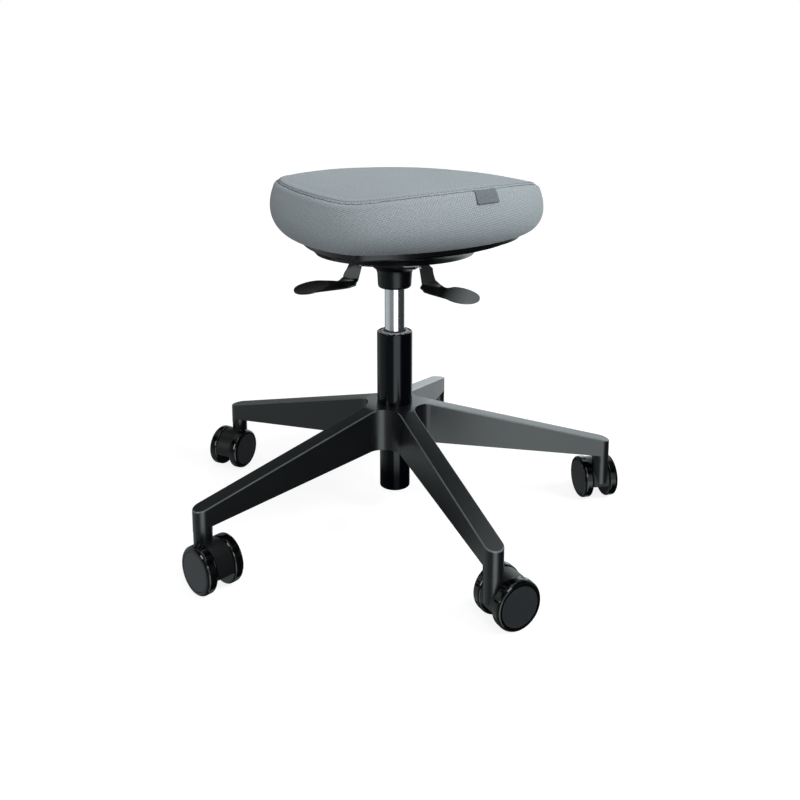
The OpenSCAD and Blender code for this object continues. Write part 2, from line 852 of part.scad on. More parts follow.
// Sheet-steel lever on the +X side: lug on its shaft, leaning strip with a foot, and sloping oval paddle
module lever_sheet(shaft_x, strip_x, lean, front, tip_x) {
    inner = strip_x - strip_w / 2;
    outer = strip_x + strip_w / 2;
    low_in = inner + lever_drop * tan(lean);
    reach = (tip_x - low_in) / cos(paddle_roll);
    fall = tan(paddle_roll);
    difference() {
        union() {
            translate([0, -front + lever_t, 0])
                rotate([90, 0, 0])
                    linear_extrude(lever_t) {
                        translate([shaft_x, shaft_z])
                            circle(r = lug_r);
                        polygon([
                            [shaft_x, shaft_z + lug_r],
                            [inner + strip_w * 0.3, strip_top],
                            [outer - strip_w * 0.3, strip_top],
                            [outer + strip_w * 0.3 * tan(lean), strip_top - strip_w * 0.3],
                            [low_in + strip_w * 0.92, bend_z + strip_w * 0.55],
                            [low_in + strip_w, bend_z + strip_w * 0.36],
                            [low_in + strip_w * 1.14, bend_z + strip_w * 0.22],
                            [low_in + strip_w * 1.38, bend_z + strip_w * 0.1],
                            [low_in + strip_w * 1.75, bend_z - strip_w * 1.75 * fall],
                            [low_in + strip_w * 1.75, bend_z - strip_w * 1.75 * fall - lever_t * 0.6],
                            [low_in, bend_z - lever_t * 0.6],
                            [inner + lug_r * 0.6 * tan(lean), shaft_z - lug_r * 0.6],
                            [shaft_x, shaft_z - lug_r]
                        ]);
                    }
            translate([low_in, -front, bend_z])
                rotate([paddle_pitch, paddle_roll, 0])
                    translate([0, 0, -lever_t])
                        linear_extrude(lever_t)
                            polygon(paddle_outline(reach));
        }
        translate([shaft_x, -front - cut, shaft_z])
            rotate([-90, 0, 0])
                cylinder(r = shaft_r, h = lever_t + 2 * cut);
    }
}

// Round shaft along Y from a lever back into the housing
module lever_shaft(x, front) {
    translate([x, -front - lever_t / 2, shaft_z])
        rotate([-90, 0, 0])
            cylinder(r = shaft_r, h = front + lever_t / 2 + shaft_rear);
}

module lift_lever() {
    color([0.08, 0.08, 0.09])
        mirror([1, 0, 0])
            lever_sheet(lift_shaft_x, lift_strip_x, lift_lean, lift_front, lift_tip_x);
}

module tilt_lever() {
    color([0.08, 0.08, 0.09])
        lever_sheet(release_shaft_x, tilt_strip_x, tilt_lean, tilt_front, tilt_tip_x);
}

// Shaft of the lift lever with the finger that presses the valve pin
module lift_shaft() {
    color([0.5, 0.5, 0.52]) {
        lever_shaft(-lift_shaft_x, lift_front);
        translate([-lift_shaft_x, -cam_half, shaft_z])
            rotate([-90, 0, 0])
                cylinder(r = cam_hub_r, h = 2 * cam_half);
        translate([-lift_shaft_x, -cam_half, shaft_z - shaft_r])
            cube([lift_shaft_x + cam_reach, 2 * cam_half, cam_h]);
    }
}

// Shaft of the tilt lever with the cam that presses the brake plate
module release_shaft() {
    pad_x = brake_x + brake_t + seat_gap * 3;
    pad_y = brake_front + brake_l / 2;
    color([0.5, 0.5, 0.52]) {
        lever_shaft(release_shaft_x, tilt_front);
        translate([release_shaft_x, pad_y - cam_half, shaft_z])
            rotate([-90, 0, 0])
                cylinder(r = cam_hub_r, h = 2 * cam_half);
        translate([pad_x, pad_y - cam_half, shaft_z - shaft_r])
            cube([release_shaft_x - pad_x, 2 * cam_half, cam_h]);
        translate([pad_x, pad_y - cam_half, shaft_z - shaft_r])
            cube([cam_h, 2 * cam_half, shaft_r + cam_h]);
    }
}

// Reach of the pan's rim and its slope, inset by off
function rim_reach(t, off) = seam_reach(t) - lower_inset - pan_rim_gap - off + lower_corner * cos(3 * t);
function rim_slope(t) = seam_reach_slope(t) - 3 * lower_corner * sin(3 * t);

// Ring between the round dish (share 0) and the rim (share 1), inset by off
function pan_ring(share, grow, off, z) = [
    for (j = [0:seat_steps - 1])
        let (t = 360 * j / seat_steps)
        outline_point(
            t,
            (dish_r + grow) * (1 - share) - off * (1 - share) + rim_reach(t, off) * share,
            rim_slope(t) * share,
            z
        )
];
function circle_ring(r, z) = [
    for (j = [0:seat_steps - 1])
        let (t = 360 * j / seat_steps)
        [r * sin(t), -r * cos(t), z]
];
function pan_rings(off) =
    let (low = board_z - dish_h + off, flank = board_z - dish_h * 0.45, wing = board_z - wing_h)
    [
        pan_ring(0, -dish_h * 0.2, off, low),
        pan_ring(0, 0, off, low + dish_h * 0.14),
        pan_ring(0, dish_h * 0.35, off, flank + off * 0.5),
        pan_ring(wing_shares[0], dish_h * 0.35, off, flank + (wing - flank) * 0.45 + off * 0.8),
        pan_ring(wing_shares[1], dish_h * 0.35, off, flank + (wing - flank) * 0.8 + off),
        pan_ring(1, 0, off, wing + off),
        pan_ring(1, 0, off, cushion_z - seat_gap)
    ];

// Moulded shell under the seat board, with screw bosses in its dish
module seat_pan() {
    inner = pan_rings(pan_wall);
    low = board_z - dish_h;
    color([0.09, 0.09, 0.1])
        difference() {
            union() {
                ring_loop(concat(
                    [circle_ring(opening_r, low)],
                    pan_rings(0),
                    [for (i = [len(inner) - 1:-1:0]) inner[i]],
                    [circle_ring(opening_r, low + pan_wall)]
                ));
                for (k = [0:pan_screws_count - 1])
                    rotate((k + 0.5) * 360 / pan_screws_count)
                        translate([pan_screw_ring, 0, low + pan_wall / 2])
                            cylinder(r = boss_r, h = dish_h - pan_wall / 2);
            }
            for (k = [0:pan_screws_count - 1])
                rotate((k + 0.5) * 360 / pan_screws_count)
                    translate([pan_screw_ring, 0, low - cut])
                        cylinder(r = pan_screw_r + running_gap, h = dish_h + 2 * cut);
        }
}

module pan_screws() {
    low = board_z - dish_h;
    head = pan_wall * 1.2;
    color([0.3, 0.3, 0.32])
        for (k = [0:pan_screws_count - 1])
            rotate((k + 0.5) * 360 / pan_screws_count)
                translate([pan_screw_ring, 0, low - head]) {
                    cylinder(r = pan_screw_r * 1.9, h = head);
                    cylinder(r = pan_screw_r, h = head + dish_h + screw_in_board);
                }
}

module seat_board() {
    outline = [
        for (t = [0:360 / seat_steps:359])
            let (p = outline_point(t, rim_reach(t, pan_wall + board_gap), rim_slope(t), 0))
            [p.x, p.y]
    ];
    color([0.72, 0.56, 0.38])
        difference() {
            translate([0, 0, board_z])
                linear_extrude(board_t)
                    polygon(outline);
            for (x = [-screw_x, screw_x]) for (y = [screw_front, screw_rear])
                translate([x, y, board_z - cut])
                    cylinder(r = screw_r, h = screw_in_board + cut);
            for (k = [0:pan_screws_count - 1])
                rotate((k + 0.5) * 360 / pan_screws_count)
                    translate([pan_screw_ring, 0, board_z - cut])
                        cylinder(r = pan_screw_r, h = screw_in_board + cut);
        }
}

module seat_foam() {
    off = cover_t + foam_gap;
    color([0.85, 0.82, 0.7])
        ring_solid(plain_rings(off), [0, 0, cushion_z], [0, 0, cushion_z + crown_h - off]);
}

module seat_cover() {
    color([0.48, 0.55, 0.57])
        ring_shell(
            sewn_rings(),
            plain_rings(cover_t),
            [0, 0, cushion_z + crown_h],
            [0, 0, cushion_z + crown_h - cover_t]
        );
}

// Blank fabric tag sewn into the seam on the seat's left flank
module label_tag() {
    span = tag_w / seat_half * 180 / PI * 0.62;
    top_gap = seam_lip * 1.6;
    high_angle = asin(sin(swell_end) * (1 - top_gap / swell_drop));
    low_angle = asin(sin(swell_end) * (1 - (top_gap + tag_h) / swell_drop));
    rows = [for (i = [0:tag_rows - 1]) low_angle + (high_angle - low_angle) * i / (tag_rows - 1)];
    layers = [
        for (off = [-seat_gap, -seat_gap - tag_t])
            [for (a = rows) [
                for (j = [0:tag_columns - 1])
                    upper_point(tag_angle + span * j / (tag_columns - 1), a, off)
            ]]
    ];
    rings = [for (i = [0:tag_rows - 1]) concat(
        layers[1][i],
        [for (j = [tag_columns - 1:-1:0]) layers[0][i][j]]
    )];
    n = 2 * tag_columns;
    count = tag_rows * n;
    color([0.34, 0.4, 0.43])
        polyhedron(
            points = all_points(rings),
            faces = concat(
                band_faces(tag_rows, n, 0, false),
                [
                    for (j = [0:tag_columns - 2])
                        for (f = [[j, j + 1, n - 1 - j], [j + 1, n - 2 - j, n - 1 - j]]) f
                ],
                [
                    for (j = [0:tag_columns - 2])
                        let (b = count - n)
                        for (f = [[b + j + 1, b + j, b + n - 1 - j], [b + j + 1, b + n - 1 - j, b + n - 2 - j]]) f
                ]
            )
        );
}

// Places a caster part at arm k, counted from 1
module at_arm(k) {
    rotate(base_turn - 90 + half_pitch + (k - 1) * arm_pitch)
        translate([base_radius, 0, 0])
            rotate(caster_turn)
                children();
}

// Turns a shape built round Z so that it lies round the wheel axle, on one side
module on_axle(side) {
    translate([caster_trail, 0, wheel_r])
        rotate([-90 * side, 0, 0])
            children();
}

module caster_housing() {
    color([0.13, 0.14, 0.15])
        difference() {
            union() {
                translate([0, 0, collar_floor])
                    cylinder(d = collar_d, h = caster_h - collar_floor);
                intersection() {
                    translate([caster_trail, hood_w / 2, wheel_r])
                        rotate([90, 0, 0])
                            cylinder(r = hood_r, h = hood_w);
                    translate([-base_radius, -hood_w, hood_floor])
                        cube([2 * base_radius, 2 * hood_w, caster_h]);
                }
            }
            translate([0, 0, caster_h - stem_in_collar])
                cylinder(d = stem_d, h = stem_in_collar + cut);
            translate([caster_trail, hood_w, wheel_r])
                rotate([90, 0, 0])
                    cylinder(d = axle_d, h = 2 * hood_w);
        }
}

module caster_stem() {
    low = caster_h - stem_in_collar;
    high = caster_h + stem_in_arm;
    r = stem_d / 2;
    ring = stem_groove * 2;
    color([0.7, 0.7, 0.72])
        rotate_extrude()
            polygon([
                [0, low],
                [r, low],
                [r, high - ring * 4],
                [r - stem_groove, high - ring * 4],
                [r - stem_groove, high - ring * 2],
                [r, high - ring * 2],
                [r, high - ring],
                [r - ring, high],
                [0, high]
            ]);
}

module caster_axle() {
    color([0.7, 0.7, 0.72])
        translate([caster_trail, axle_half, wheel_r])
            rotate([90, 0, 0])
                cylinder(d = axle_d, h = 2 * axle_half);
}

module caster_wheel(side) {
    color([0.04, 0.04, 0.045])
        on_axle(side)
            rotate_extrude()
                polygon(concat(
                    [[axle_d / 2 + running_gap, wheel_in]],
                    [
                        for (i = [0:edge_steps])
                            let (a = 90 * i / edge_steps)
                            [wheel_r - wheel_inner_edge * (1 - sin(a)), wheel_in + wheel_inner_edge * (1 - cos(a))]
                    ],
                    [
                        for (i = [0:edge_steps])
                            let (a = 90 * i / edge_steps)
                            [wheel_r - wheel_edge * (1 - cos(a)), wheel_out - wheel_edge * (1 - sin(a))]
                    ],
                    [
                        [cap_r + seat_gap, wheel_out],
                        [cap_r + seat_gap, wheel_out - cap_t],
                        [axle_d / 2 + running_gap, wheel_out - cap_t]
                    ]
                ));
}

module caster_cap(side) {
    color([0.16, 0.17, 0.18])
        on_axle(side)
            translate([0, 0, wheel_out - cap_t])
                cylinder(r = cap_r, h = cap_t);
}

module caster_part(part) {
    if (part == "housing") caster_housing();
    if (part == "stem") caster_stem();
    if (part == "axle") caster_axle();
    if (part == "wheel_left") caster_wheel(1);
    if (part == "wheel_right") caster_wheel(-1);
    if (part == "cap_left") caster_cap(1);
    if (part == "cap_right") caster_cap(-1);
}

base_star();
column_tube();
guide_bush();
thrust_bearing();
retaining_clip();
piston_rod();
gas_cylinder();
valve_pin();
mechanism_base();
tilt_frame();
tilt_shaft();
tilt_bushes();
tilt_buffers();
brake_plate();
lift_lever();
lift_shaft();
tilt_lever();
release_shaft();
seat_pan();
seat_board();
seat_foam();
seat_cover();
label_tag();
frame_screws();
pan_screws();
for (k = [1:arms]) for (part = CASTER_PARTS)
    at_arm(k) caster_part(part);
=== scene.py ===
import math
from contextlib import contextmanager

import bpy
import numpy as np
from mathutils import Matrix, Vector
from mathutils.bvhtree import BVHTree
from mathutils.kdtree import KDTree


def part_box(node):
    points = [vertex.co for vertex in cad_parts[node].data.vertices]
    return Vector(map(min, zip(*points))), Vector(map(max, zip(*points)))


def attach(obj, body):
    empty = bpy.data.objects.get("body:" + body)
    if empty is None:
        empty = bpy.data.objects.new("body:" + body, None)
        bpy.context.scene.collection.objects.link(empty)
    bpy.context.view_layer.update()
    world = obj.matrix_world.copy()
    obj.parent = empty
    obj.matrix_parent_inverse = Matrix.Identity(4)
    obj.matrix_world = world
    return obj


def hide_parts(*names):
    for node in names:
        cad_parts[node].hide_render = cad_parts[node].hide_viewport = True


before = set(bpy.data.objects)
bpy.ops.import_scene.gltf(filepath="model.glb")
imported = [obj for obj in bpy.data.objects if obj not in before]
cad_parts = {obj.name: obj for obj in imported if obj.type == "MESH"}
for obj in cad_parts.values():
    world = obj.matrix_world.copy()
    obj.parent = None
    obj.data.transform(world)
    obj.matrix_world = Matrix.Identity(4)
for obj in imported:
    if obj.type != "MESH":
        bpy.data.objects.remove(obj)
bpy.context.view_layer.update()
MM = 0.001


# Camera: a little above the seat, to the right of its nose, looking slightly down.
camera_data = bpy.data.cameras.new("camera")
camera = bpy.data.objects.new("camera", camera_data)
bpy.context.scene.collection.objects.link(camera)
camera.location = (0.3573, -1.083, 0.5788)
camera.rotation_euler = (math.radians(81.457), 0, math.radians(17.884))
camera_data.sensor_width = 36
camera_data.lens = 37.449
camera_data.shift_y = -0.213
camera_data.clip_start = 0.05
camera_data.clip_end = 50
bpy.context.scene.camera = camera
bpy.context.scene.view_settings.view_transform = "Standard"


# Shaping helpers
def deselect():
    if bpy.context.mode != "OBJECT":
        bpy.ops.object.mode_set(mode="OBJECT")
    bpy.ops.object.select_all(action="DESELECT")


def only(piece):
    deselect()
    piece.select_set(True)
    bpy.context.view_layer.objects.active = piece
    return piece


def fresh(name):
    piece = bpy.context.active_object
    piece.name = name
    piece.data.name = name
    return piece


@contextmanager
def whole_in_edit(piece):
    """Edit mode with all of the piece selected, then back to object mode."""
    only(piece)
    bpy.ops.object.mode_set(mode="EDIT")
    bpy.ops.mesh.select_all(action="SELECT")
    yield
    bpy.ops.object.mode_set(mode="OBJECT")


def face_out(piece):
    with whole_in_edit(piece):
        bpy.ops.mesh.normals_make_consistent(inside=False)


def flip_faces(piece):
    with whole_in_edit(piece):
        bpy.ops.mesh.flip_normals()


def stacked_rings(name, sides, radius, count):
    """A circle extruded upwards a millimetre a ring, to be laid on a profile, with each point's ring."""
    deselect()
    bpy.ops.mesh.primitive_circle_add(vertices=sides, radius=radius)
    piece = fresh(name)
    with whole_in_edit(piece):
        for _ in range(count - 1):
            bpy.ops.mesh.extrude_edges_move(TRANSFORM_OT_translate={"value": (0, 0, 1 * MM)})
    co = points_of(piece)
    return piece, co, np.rint(co[:, 2] / MM).astype(int)


def settle(piece):
    """Writes the piece's place into its mesh, so its object sits at the origin."""
    only(piece)
    bpy.ops.object.transform_apply(location=True, rotation=True, scale=True)
    return piece


def apply_modifiers(piece):
    only(piece)
    for modifier in list(piece.modifiers):
        bpy.ops.object.modifier_apply(modifier=modifier.name)
    return piece


def soften(piece, angle=35):
    only(piece)
    bpy.ops.object.shade_smooth_by_angle(angle=math.radians(angle))
    return piece


def round_edges(piece, width, segments, angle=50, material=-1):
    """A bevel on the sharp edges, left to be applied; material is the slot that it gets."""
    bevel = piece.modifiers.new("rounding", "BEVEL")
    bevel.width = width
    bevel.segments = segments
    bevel.limit_method = "ANGLE"
    bevel.angle_limit = math.radians(angle)
    bevel.material = material
    return bevel


def points_of(piece):
    co = np.empty(len(piece.data.vertices) * 3)
    piece.data.vertices.foreach_get("co", co)
    return co.reshape(-1, 3)


def set_points(piece, co):
    piece.data.vertices.foreach_set("co", np.asarray(co, float).ravel())
    piece.data.update()


def surface_tree(piece):
    bpy.context.view_layer.update()
    return BVHTree.FromObject(piece, bpy.context.evaluated_depsgraph_get())


def merged_copy(node, name):
    """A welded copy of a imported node, ready to be bevelled."""
    deselect()
    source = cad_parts[node]
    piece = bpy.data.objects.new(name, source.data.copy())
    bpy.context.scene.collection.objects.link(piece)
    piece.data.materials.clear()
    with whole_in_edit(piece):
        bpy.ops.mesh.remove_doubles(threshold=1e-6)
        bpy.ops.mesh.normals_make_consistent(inside=False)
    if piece.data.has_custom_normals:
        bpy.ops.mesh.customdata_custom_splitnormals_clear()
    return piece


def mark_rims(piece, clear_of):
    """Weights for the rounding: only the edges between a top face and a side, away from the hub."""
    mesh = piece.data
    sides = {}
    for face in mesh.polygons:
        for key in face.edge_keys:
            sides.setdefault(key, []).append(face.normal.z)
    weights = mesh.attributes.new("bevel_weight_edge", "FLOAT", "EDGE")
    for edge in mesh.edges:
        ups = sides.get(edge.key, [])
        away = min(mesh.vertices[v].co.xy.length for v in edge.vertices) > clear_of
        rim = len(ups) == 2 and max(ups) > 0.9 and abs(min(ups)) < 0.3
        weights.data[edge.index].value = float(rim and away)


def rounded_copy(node, name, body, finish, width, segments=3, angle=30, flat=2.0,
                 highlight_finish=None, clear_of=None):
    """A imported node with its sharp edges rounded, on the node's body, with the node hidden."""
    piece = merged_copy(node, name)
    with whole_in_edit(piece):
        bpy.ops.mesh.dissolve_limited(angle_limit=math.radians(flat))
    # where a highlight finish is given, the rounding takes that second slot: a painted highlight along the
    # rounded edges
    bevel = round_edges(piece, width, segments, angle, material=1 if highlight_finish else -1)
    if clear_of:
        mark_rims(piece, clear_of)
        bevel.limit_method = "WEIGHT"
        bevel.use_clamp_overlap = False
    for material in filter(None, (finish, highlight_finish)):
        piece.data.materials.append(material)
    apply_modifiers(piece)
    soften(piece, 40)
    level = piece.modifiers.new("flat_faces", "WEIGHTED_NORMAL")
    level.keep_sharp = True
    level.weight = 100
    apply_modifiers(piece)
    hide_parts(node)
    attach(piece, body)
    return piece


# Shader helpers
def feed(tree, socket, value):
    """Gives a socket a plain value, or links another node's output to it."""
    if isinstance(value, bpy.types.NodeSocket):
        tree.links.new(value, socket)
    else:
        socket.default_value = value


def node_of(tree, kind, inputs=None, **settings):
    """A new node with its settings, and its inputs given by name or number."""
    node = tree.nodes.new(kind)
    for key, value in settings.items():
        setattr(node, key, value)
    for label, value in (inputs or {}).items():
        feed(tree, node.inputs[label], value)
    return node


def effect(name, inputs, outputs):
    """An empty node group. An input without a default is a vector, and all other sockets are numbers."""
    group = bpy.data.node_groups.new(name, "ShaderNodeTree")
    for label, default in inputs.items():
        kind = "NodeSocketVector" if default is None else "NodeSocketFloat"
        socket = group.interface.new_socket(label, in_out="INPUT", socket_type=kind)
        if default is not None:
            socket.default_value = default
    for label in outputs:
        group.interface.new_socket(label, in_out="OUTPUT", socket_type="NodeSocketFloat")
    return group, group.nodes.new("NodeGroupInput"), group.nodes.new("NodeGroupOutput")


def sums(tree, operation, *values, clamp=False):
    node = node_of(tree, "ShaderNodeMath", dict(enumerate(values)), operation=operation, use_clamp=clamp)
    return node.outputs[0]


def plus(tree, a, b, clamp=False):
    return sums(tree, "ADD", a, b, clamp=clamp)


def times(tree, a, b):
    return sums(tree, "MULTIPLY", a, b)


def noise_of(tree, vector, scale, detail):
    node = node_of(tree, "ShaderNodeTexNoise", {"Vector": vector, "Scale": scale, "Detail": detail})
    return node.outputs["Fac"]


def parts_of(tree, vector):
    return node_of(tree, "ShaderNodeSeparateXYZ", {0: vector}).outputs


def wave(tree, distance, pitch):
    return sums(tree, "SINE", sums(tree, "DIVIDE", times(tree, distance, 2 * math.pi), pitch))


def blend_colours(tree, factor, first, second, mode="MIX"):
    """Two colours, each three plain numbers or an output, blended by the factor."""
    first, second = ((*value, 1) if isinstance(value, tuple) else value for value in (first, second))
    node = node_of(tree, "ShaderNodeMix", {"Factor": factor, "A": first, "B": second},
                   data_type="RGBA", blend_type=mode)
    return node.outputs["Result"]


def spread(tree, value, low, high, from_low=0.3, from_high=0.7):
    """A value that runs from from_low to from_high, made to run from low to high, and held beyond."""
    node = node_of(tree, "ShaderNodeMapRange", {
        "Value": value, "From Min": from_low, "From Max": from_high, "To Min": low, "To Max": high})
    return node.outputs["Result"]


def make_grain():
    """Fine even grain with a slow drift, for coats and moulded plastics."""
    group, start, end = effect(
        "fine_grain", {"Vector": None, "Grain Scale": 900.0, "Drift Scale": 14.0}, ("Grain", "Drift"))
    for label, detail in (("Grain", 2), ("Drift", 3)):
        noise = noise_of(group, start.outputs["Vector"], start.outputs[label + " Scale"], detail)
        group.links.new(noise, end.inputs[label])
    return group


def make_twill():
    """Fine twill: steep slanted ribs crossed by the weft, from a map in metres."""
    rib_slant, weft_rise, wobble = 0.64, 0.25, 0.0024
    rib_weight, weft_weight, fleck_weight = 0.25, 0.22, 1.3
    group, start, end = effect(
        "fine_twill", {"Vector": None, "Rib Pitch": 0.0033, "Yarn Pitch": 0.0021}, ("Height", "Shade"))
    place = start.outputs["Vector"]
    x, y, _ = parts_of(group, place)
    shift = times(group, noise_of(group, place, 70, 1), wobble)
    lean = plus(group, sums(group, "SUBTRACT", x, times(group, y, rib_slant)), shift)
    rise = plus(group, y, times(group, x, weft_rise))
    rib = times(group, wave(group, lean, start.outputs["Rib Pitch"]), rib_weight)
    weft = times(group, wave(group, rise, start.outputs["Yarn Pitch"]), weft_weight)
    height = plus(group, plus(group, rib, weft), 0.5, clamp=True)
    fleck = times(group, sums(group, "SUBTRACT", noise_of(group, place, 420, 2), 0.5), fleck_weight)
    group.links.new(height, end.inputs["Height"])
    group.links.new(plus(group, height, fleck, clamp=True), end.inputs["Shade"])
    return group


GRAIN = make_grain()
TWILL = make_twill()


def finish_base(name):
    """A new finish: material, node tree, shader, and the output with the piece's own coordinates."""
    material = bpy.data.materials.new(name)
    material.use_nodes = True
    tree = material.node_tree
    place = node_of(tree, "ShaderNodeTexCoord").outputs["Object"]
    return material, tree, tree.nodes["Principled BSDF"], place


def dress(tree, shader, tone, roughness, height, depth, **plain):
    """Colour, roughness and relief of a finish, then its plain numbers."""
    relief = node_of(tree, "ShaderNodeBump", {"Height": height, "Distance": depth}).outputs["Normal"]
    for label, value in (("Base Color", tone), ("Roughness", roughness), ("Normal", relief)):
        feed(tree, shader.inputs[label], value)
    for label, value in plain.items():
        shader.inputs[label.replace("_", " ")].default_value = value


def grain_of(tree, place, grain_scale, drift_scale):
    inputs = {"Vector": place, "Grain Scale": grain_scale, "Drift Scale": drift_scale}
    return node_of(tree, "ShaderNodeGroup", inputs, node_tree=GRAIN).outputs


def grained_finish(name, colour, second, rough, rough_drift, grain_scale, grain_depth, drift_scale=22,
                   specular=0.5, metallic=0.0, painted_light=None):
    """Coat or moulded plastic: two close colours that drift, grain in the height, and optional painted light.

    The optional paler colour paints the light that falls on a piece's outer end; it comes with the distances
    from the column where it starts and where it is full.
    """
    material, tree, shader, place = finish_base(name)
    grain, drift = grain_of(tree, place, grain_scale, drift_scale)
    tone = blend_colours(tree, spread(tree, drift, 0, 1), colour, second)
    # painted light: the tone turns paler along the piece's x, standing in for the light that falls on its
    # outer end
    if painted_light:
        pale, start, full = painted_light
        tone = blend_colours(tree, spread(tree, parts_of(tree, place)[0], 0, 1, start, full), tone, pale)
    roughness = spread(tree, drift, rough - rough_drift, rough + rough_drift)
    dress(tree, shader, tone, roughness, grain, grain_depth, Metallic=metallic, Specular_IOR_Level=specular)
    return material


charcoal_coat = grained_finish("charcoal_coat", (0.0028, 0.0036, 0.0042), (0.0036, 0.0045, 0.0052),
                               0.33, 0.012, 1400, 0.00004, specular=0.65)
# painted highlight: a coat many times paler than the base's coat, laid on the rounded rims of the arms for the
# thin light lines along them
charcoal_painted_highlight = grained_finish("charcoal_painted_highlight", (0.07, 0.077, 0.082), (0.10, 0.108, 0.114),
                               0.30, 0.04, 1400, 0.00003, drift_scale=60, specular=0.7)
gloss_paint = grained_finish("gloss_paint", (0.0005, 0.0009, 0.0024), (0.0008, 0.0012, 0.0028),
                             0.14, 0.02, 500, 0.00001, specular=0.25)
satin_paint = grained_finish("satin_paint", (0.0018, 0.0022, 0.0026), (0.0025, 0.0030, 0.0035),
                             0.30, 0.02, 1200, 0.00003, specular=0.3)
# painted highlight: a satin about ten times paler than the parts' paint, laid on the rounded edges of the
# mechanism and the paddles
satin_painted_highlight = grained_finish("satin_painted_highlight", (0.02, 0.022, 0.024), (0.03, 0.033, 0.035),
                            0.28, 0.03, 1200, 0.00002, drift_scale=80, specular=0.6)
lever_paint = grained_finish("lever_paint", (0.0022, 0.0026, 0.0028), (0.0030, 0.0035, 0.0038),
                             0.33, 0.02, 1200, 0.00003, specular=0.5)
# painted light: the tilt paddle's outer end turns pale, for the key light from the right that falls on it
tilt_paddle_painted_light = grained_finish("tilt_paddle_painted_light", (0.0022, 0.0026, 0.0028), (0.0030, 0.0035, 0.0038),
                              0.36, 0.02, 1200, 0.00003, specular=0.5,
                              painted_light=((0.12, 0.131, 0.135), 84 * MM, 116 * MM))
pan_moulding = grained_finish("pan_moulding", (0.0020, 0.0026, 0.0034), (0.0030, 0.0036, 0.0045),
                              0.24, 0.02, 1500, 0.00003, specular=0.4)
caster_gloss = grained_finish("caster_gloss", (0.0006, 0.0008, 0.0008), (0.0010, 0.0013, 0.0013),
                              0.08, 0.015, 600, 0.00001, specular=0.45)
hood_moulding = grained_finish("hood_moulding", (0.0018, 0.0022, 0.0026), (0.0028, 0.0034, 0.0038),
                               0.42, 0.02, 1200, 0.00004, specular=0.45)
cap_moulding = grained_finish("cap_moulding", (0.0165, 0.0190, 0.0215), (0.0200, 0.0225, 0.0255),
                              0.40, 0.02, 1400, 0.00005, specular=0.5)
crown_moulding = grained_finish("crown_moulding", (0.23, 0.245, 0.26), (0.33, 0.345, 0.36),
                                0.45, 0.03, 900, 0.00004)
black_rubber = grained_finish("black_rubber", (0.012, 0.012, 0.012), (0.018, 0.018, 0.018),
                              0.75, 0.05, 700, 0.0001)
plain_steel = grained_finish("plain_steel", (0.42, 0.43, 0.45), (0.5, 0.51, 0.53),
                             0.3, 0.06, 700, 0.00003, metallic=1.0)
dark_steel = grained_finish("dark_steel", (0.09, 0.09, 0.1), (0.13, 0.13, 0.14),
                            0.35, 0.06, 700, 0.00003, metallic=1.0)


def stretched_noise(tree, place, stretch, scale, detail):
    mapping = node_of(tree, "ShaderNodeMapping", {"Vector": place, "Scale": stretch})
    return noise_of(tree, mapping.outputs["Vector"], scale, detail)


def chrome_finish():
    """Satin chrome: fine lines round the rod, slight change in gloss along it."""
    material, tree, shader, place = finish_base("satin_chrome")
    lines = stretched_noise(tree, place, (1, 1, 40), 60, 3)
    tone = blend_colours(tree, spread(tree, lines, 0, 1), (0.86, 0.86, 0.89), (0.94, 0.94, 0.97))
    dress(tree, shader, tone, spread(tree, lines, 0.14, 0.2), lines, 0.00001, Metallic=1)
    return material


def board_finish():
    """Raw plywood: stretched grain and thin plies at the edge."""
    material, tree, shader, place = finish_base("raw_plywood")
    grain = stretched_noise(tree, place, (8, 1, 200), 12, 6)
    tone = blend_colours(tree, spread(tree, grain, 0, 1), (0.42, 0.27, 0.13), (0.58, 0.42, 0.24))
    dress(tree, shader, tone, 0.7, grain, 0.0002)
    return material


def cloth_finish(name, low, high, rib=0.0033, yarn=0.0021, depth=0.0004, patches=0.5):
    """Woven cloth on the piece's own map, with slow changes of colour."""
    material, tree, shader, place = finish_base(name)
    own_map = node_of(tree, "ShaderNodeUVMap", uv_map=CLOTH_MAP)
    inputs = {"Vector": own_map.outputs["UV"], "Rib Pitch": rib, "Yarn Pitch": yarn}
    twill = node_of(tree, "ShaderNodeGroup", inputs, node_tree=TWILL)
    grain, drift = grain_of(tree, place, 1500, 9)
    tone = blend_colours(tree, spread(tree, twill.outputs["Shade"], 0.1, 1.0, 0.0, 1.0), low, high)
    tint = blend_colours(tree, spread(tree, drift, 0, 1), (0.90, 0.97, 0.94), (1.0, 0.975, 1.0))
    tone = blend_colours(tree, patches, tone, tint, "MULTIPLY")
    dress(tree, shader, tone, spread(tree, grain, 0.78, 0.92), twill.outputs["Height"], depth,
          Specular_IOR_Level=0.25, Sheen_Weight=0.25, Sheen_Roughness=0.4, Sheen_Tint=(0.8, 0.88, 0.92, 1))
    return material


CLOTH_MAP = "cloth_map"
satin_chrome = chrome_finish()
raw_plywood = board_finish()
seat_cloth = cloth_finish("seat_cloth", (0.184, 0.209, 0.221), (0.348, 0.386, 0.41))
tag_cloth = cloth_finish("tag_cloth", (0.09, 0.105, 0.118), (0.17, 0.19, 0.205), rib=0.0011, yarn=0.0008,
                         depth=0.0002, patches=0.2)
# thread colour for the top stitches, and painted shade for the dark cord laid in the seam's crease
thread_and_crease_shade = grained_finish("thread_and_crease_shade", (0.05, 0.065, 0.075), (0.08, 0.10, 0.11), 0.8, 0.05,
                             2500, 0.0001)


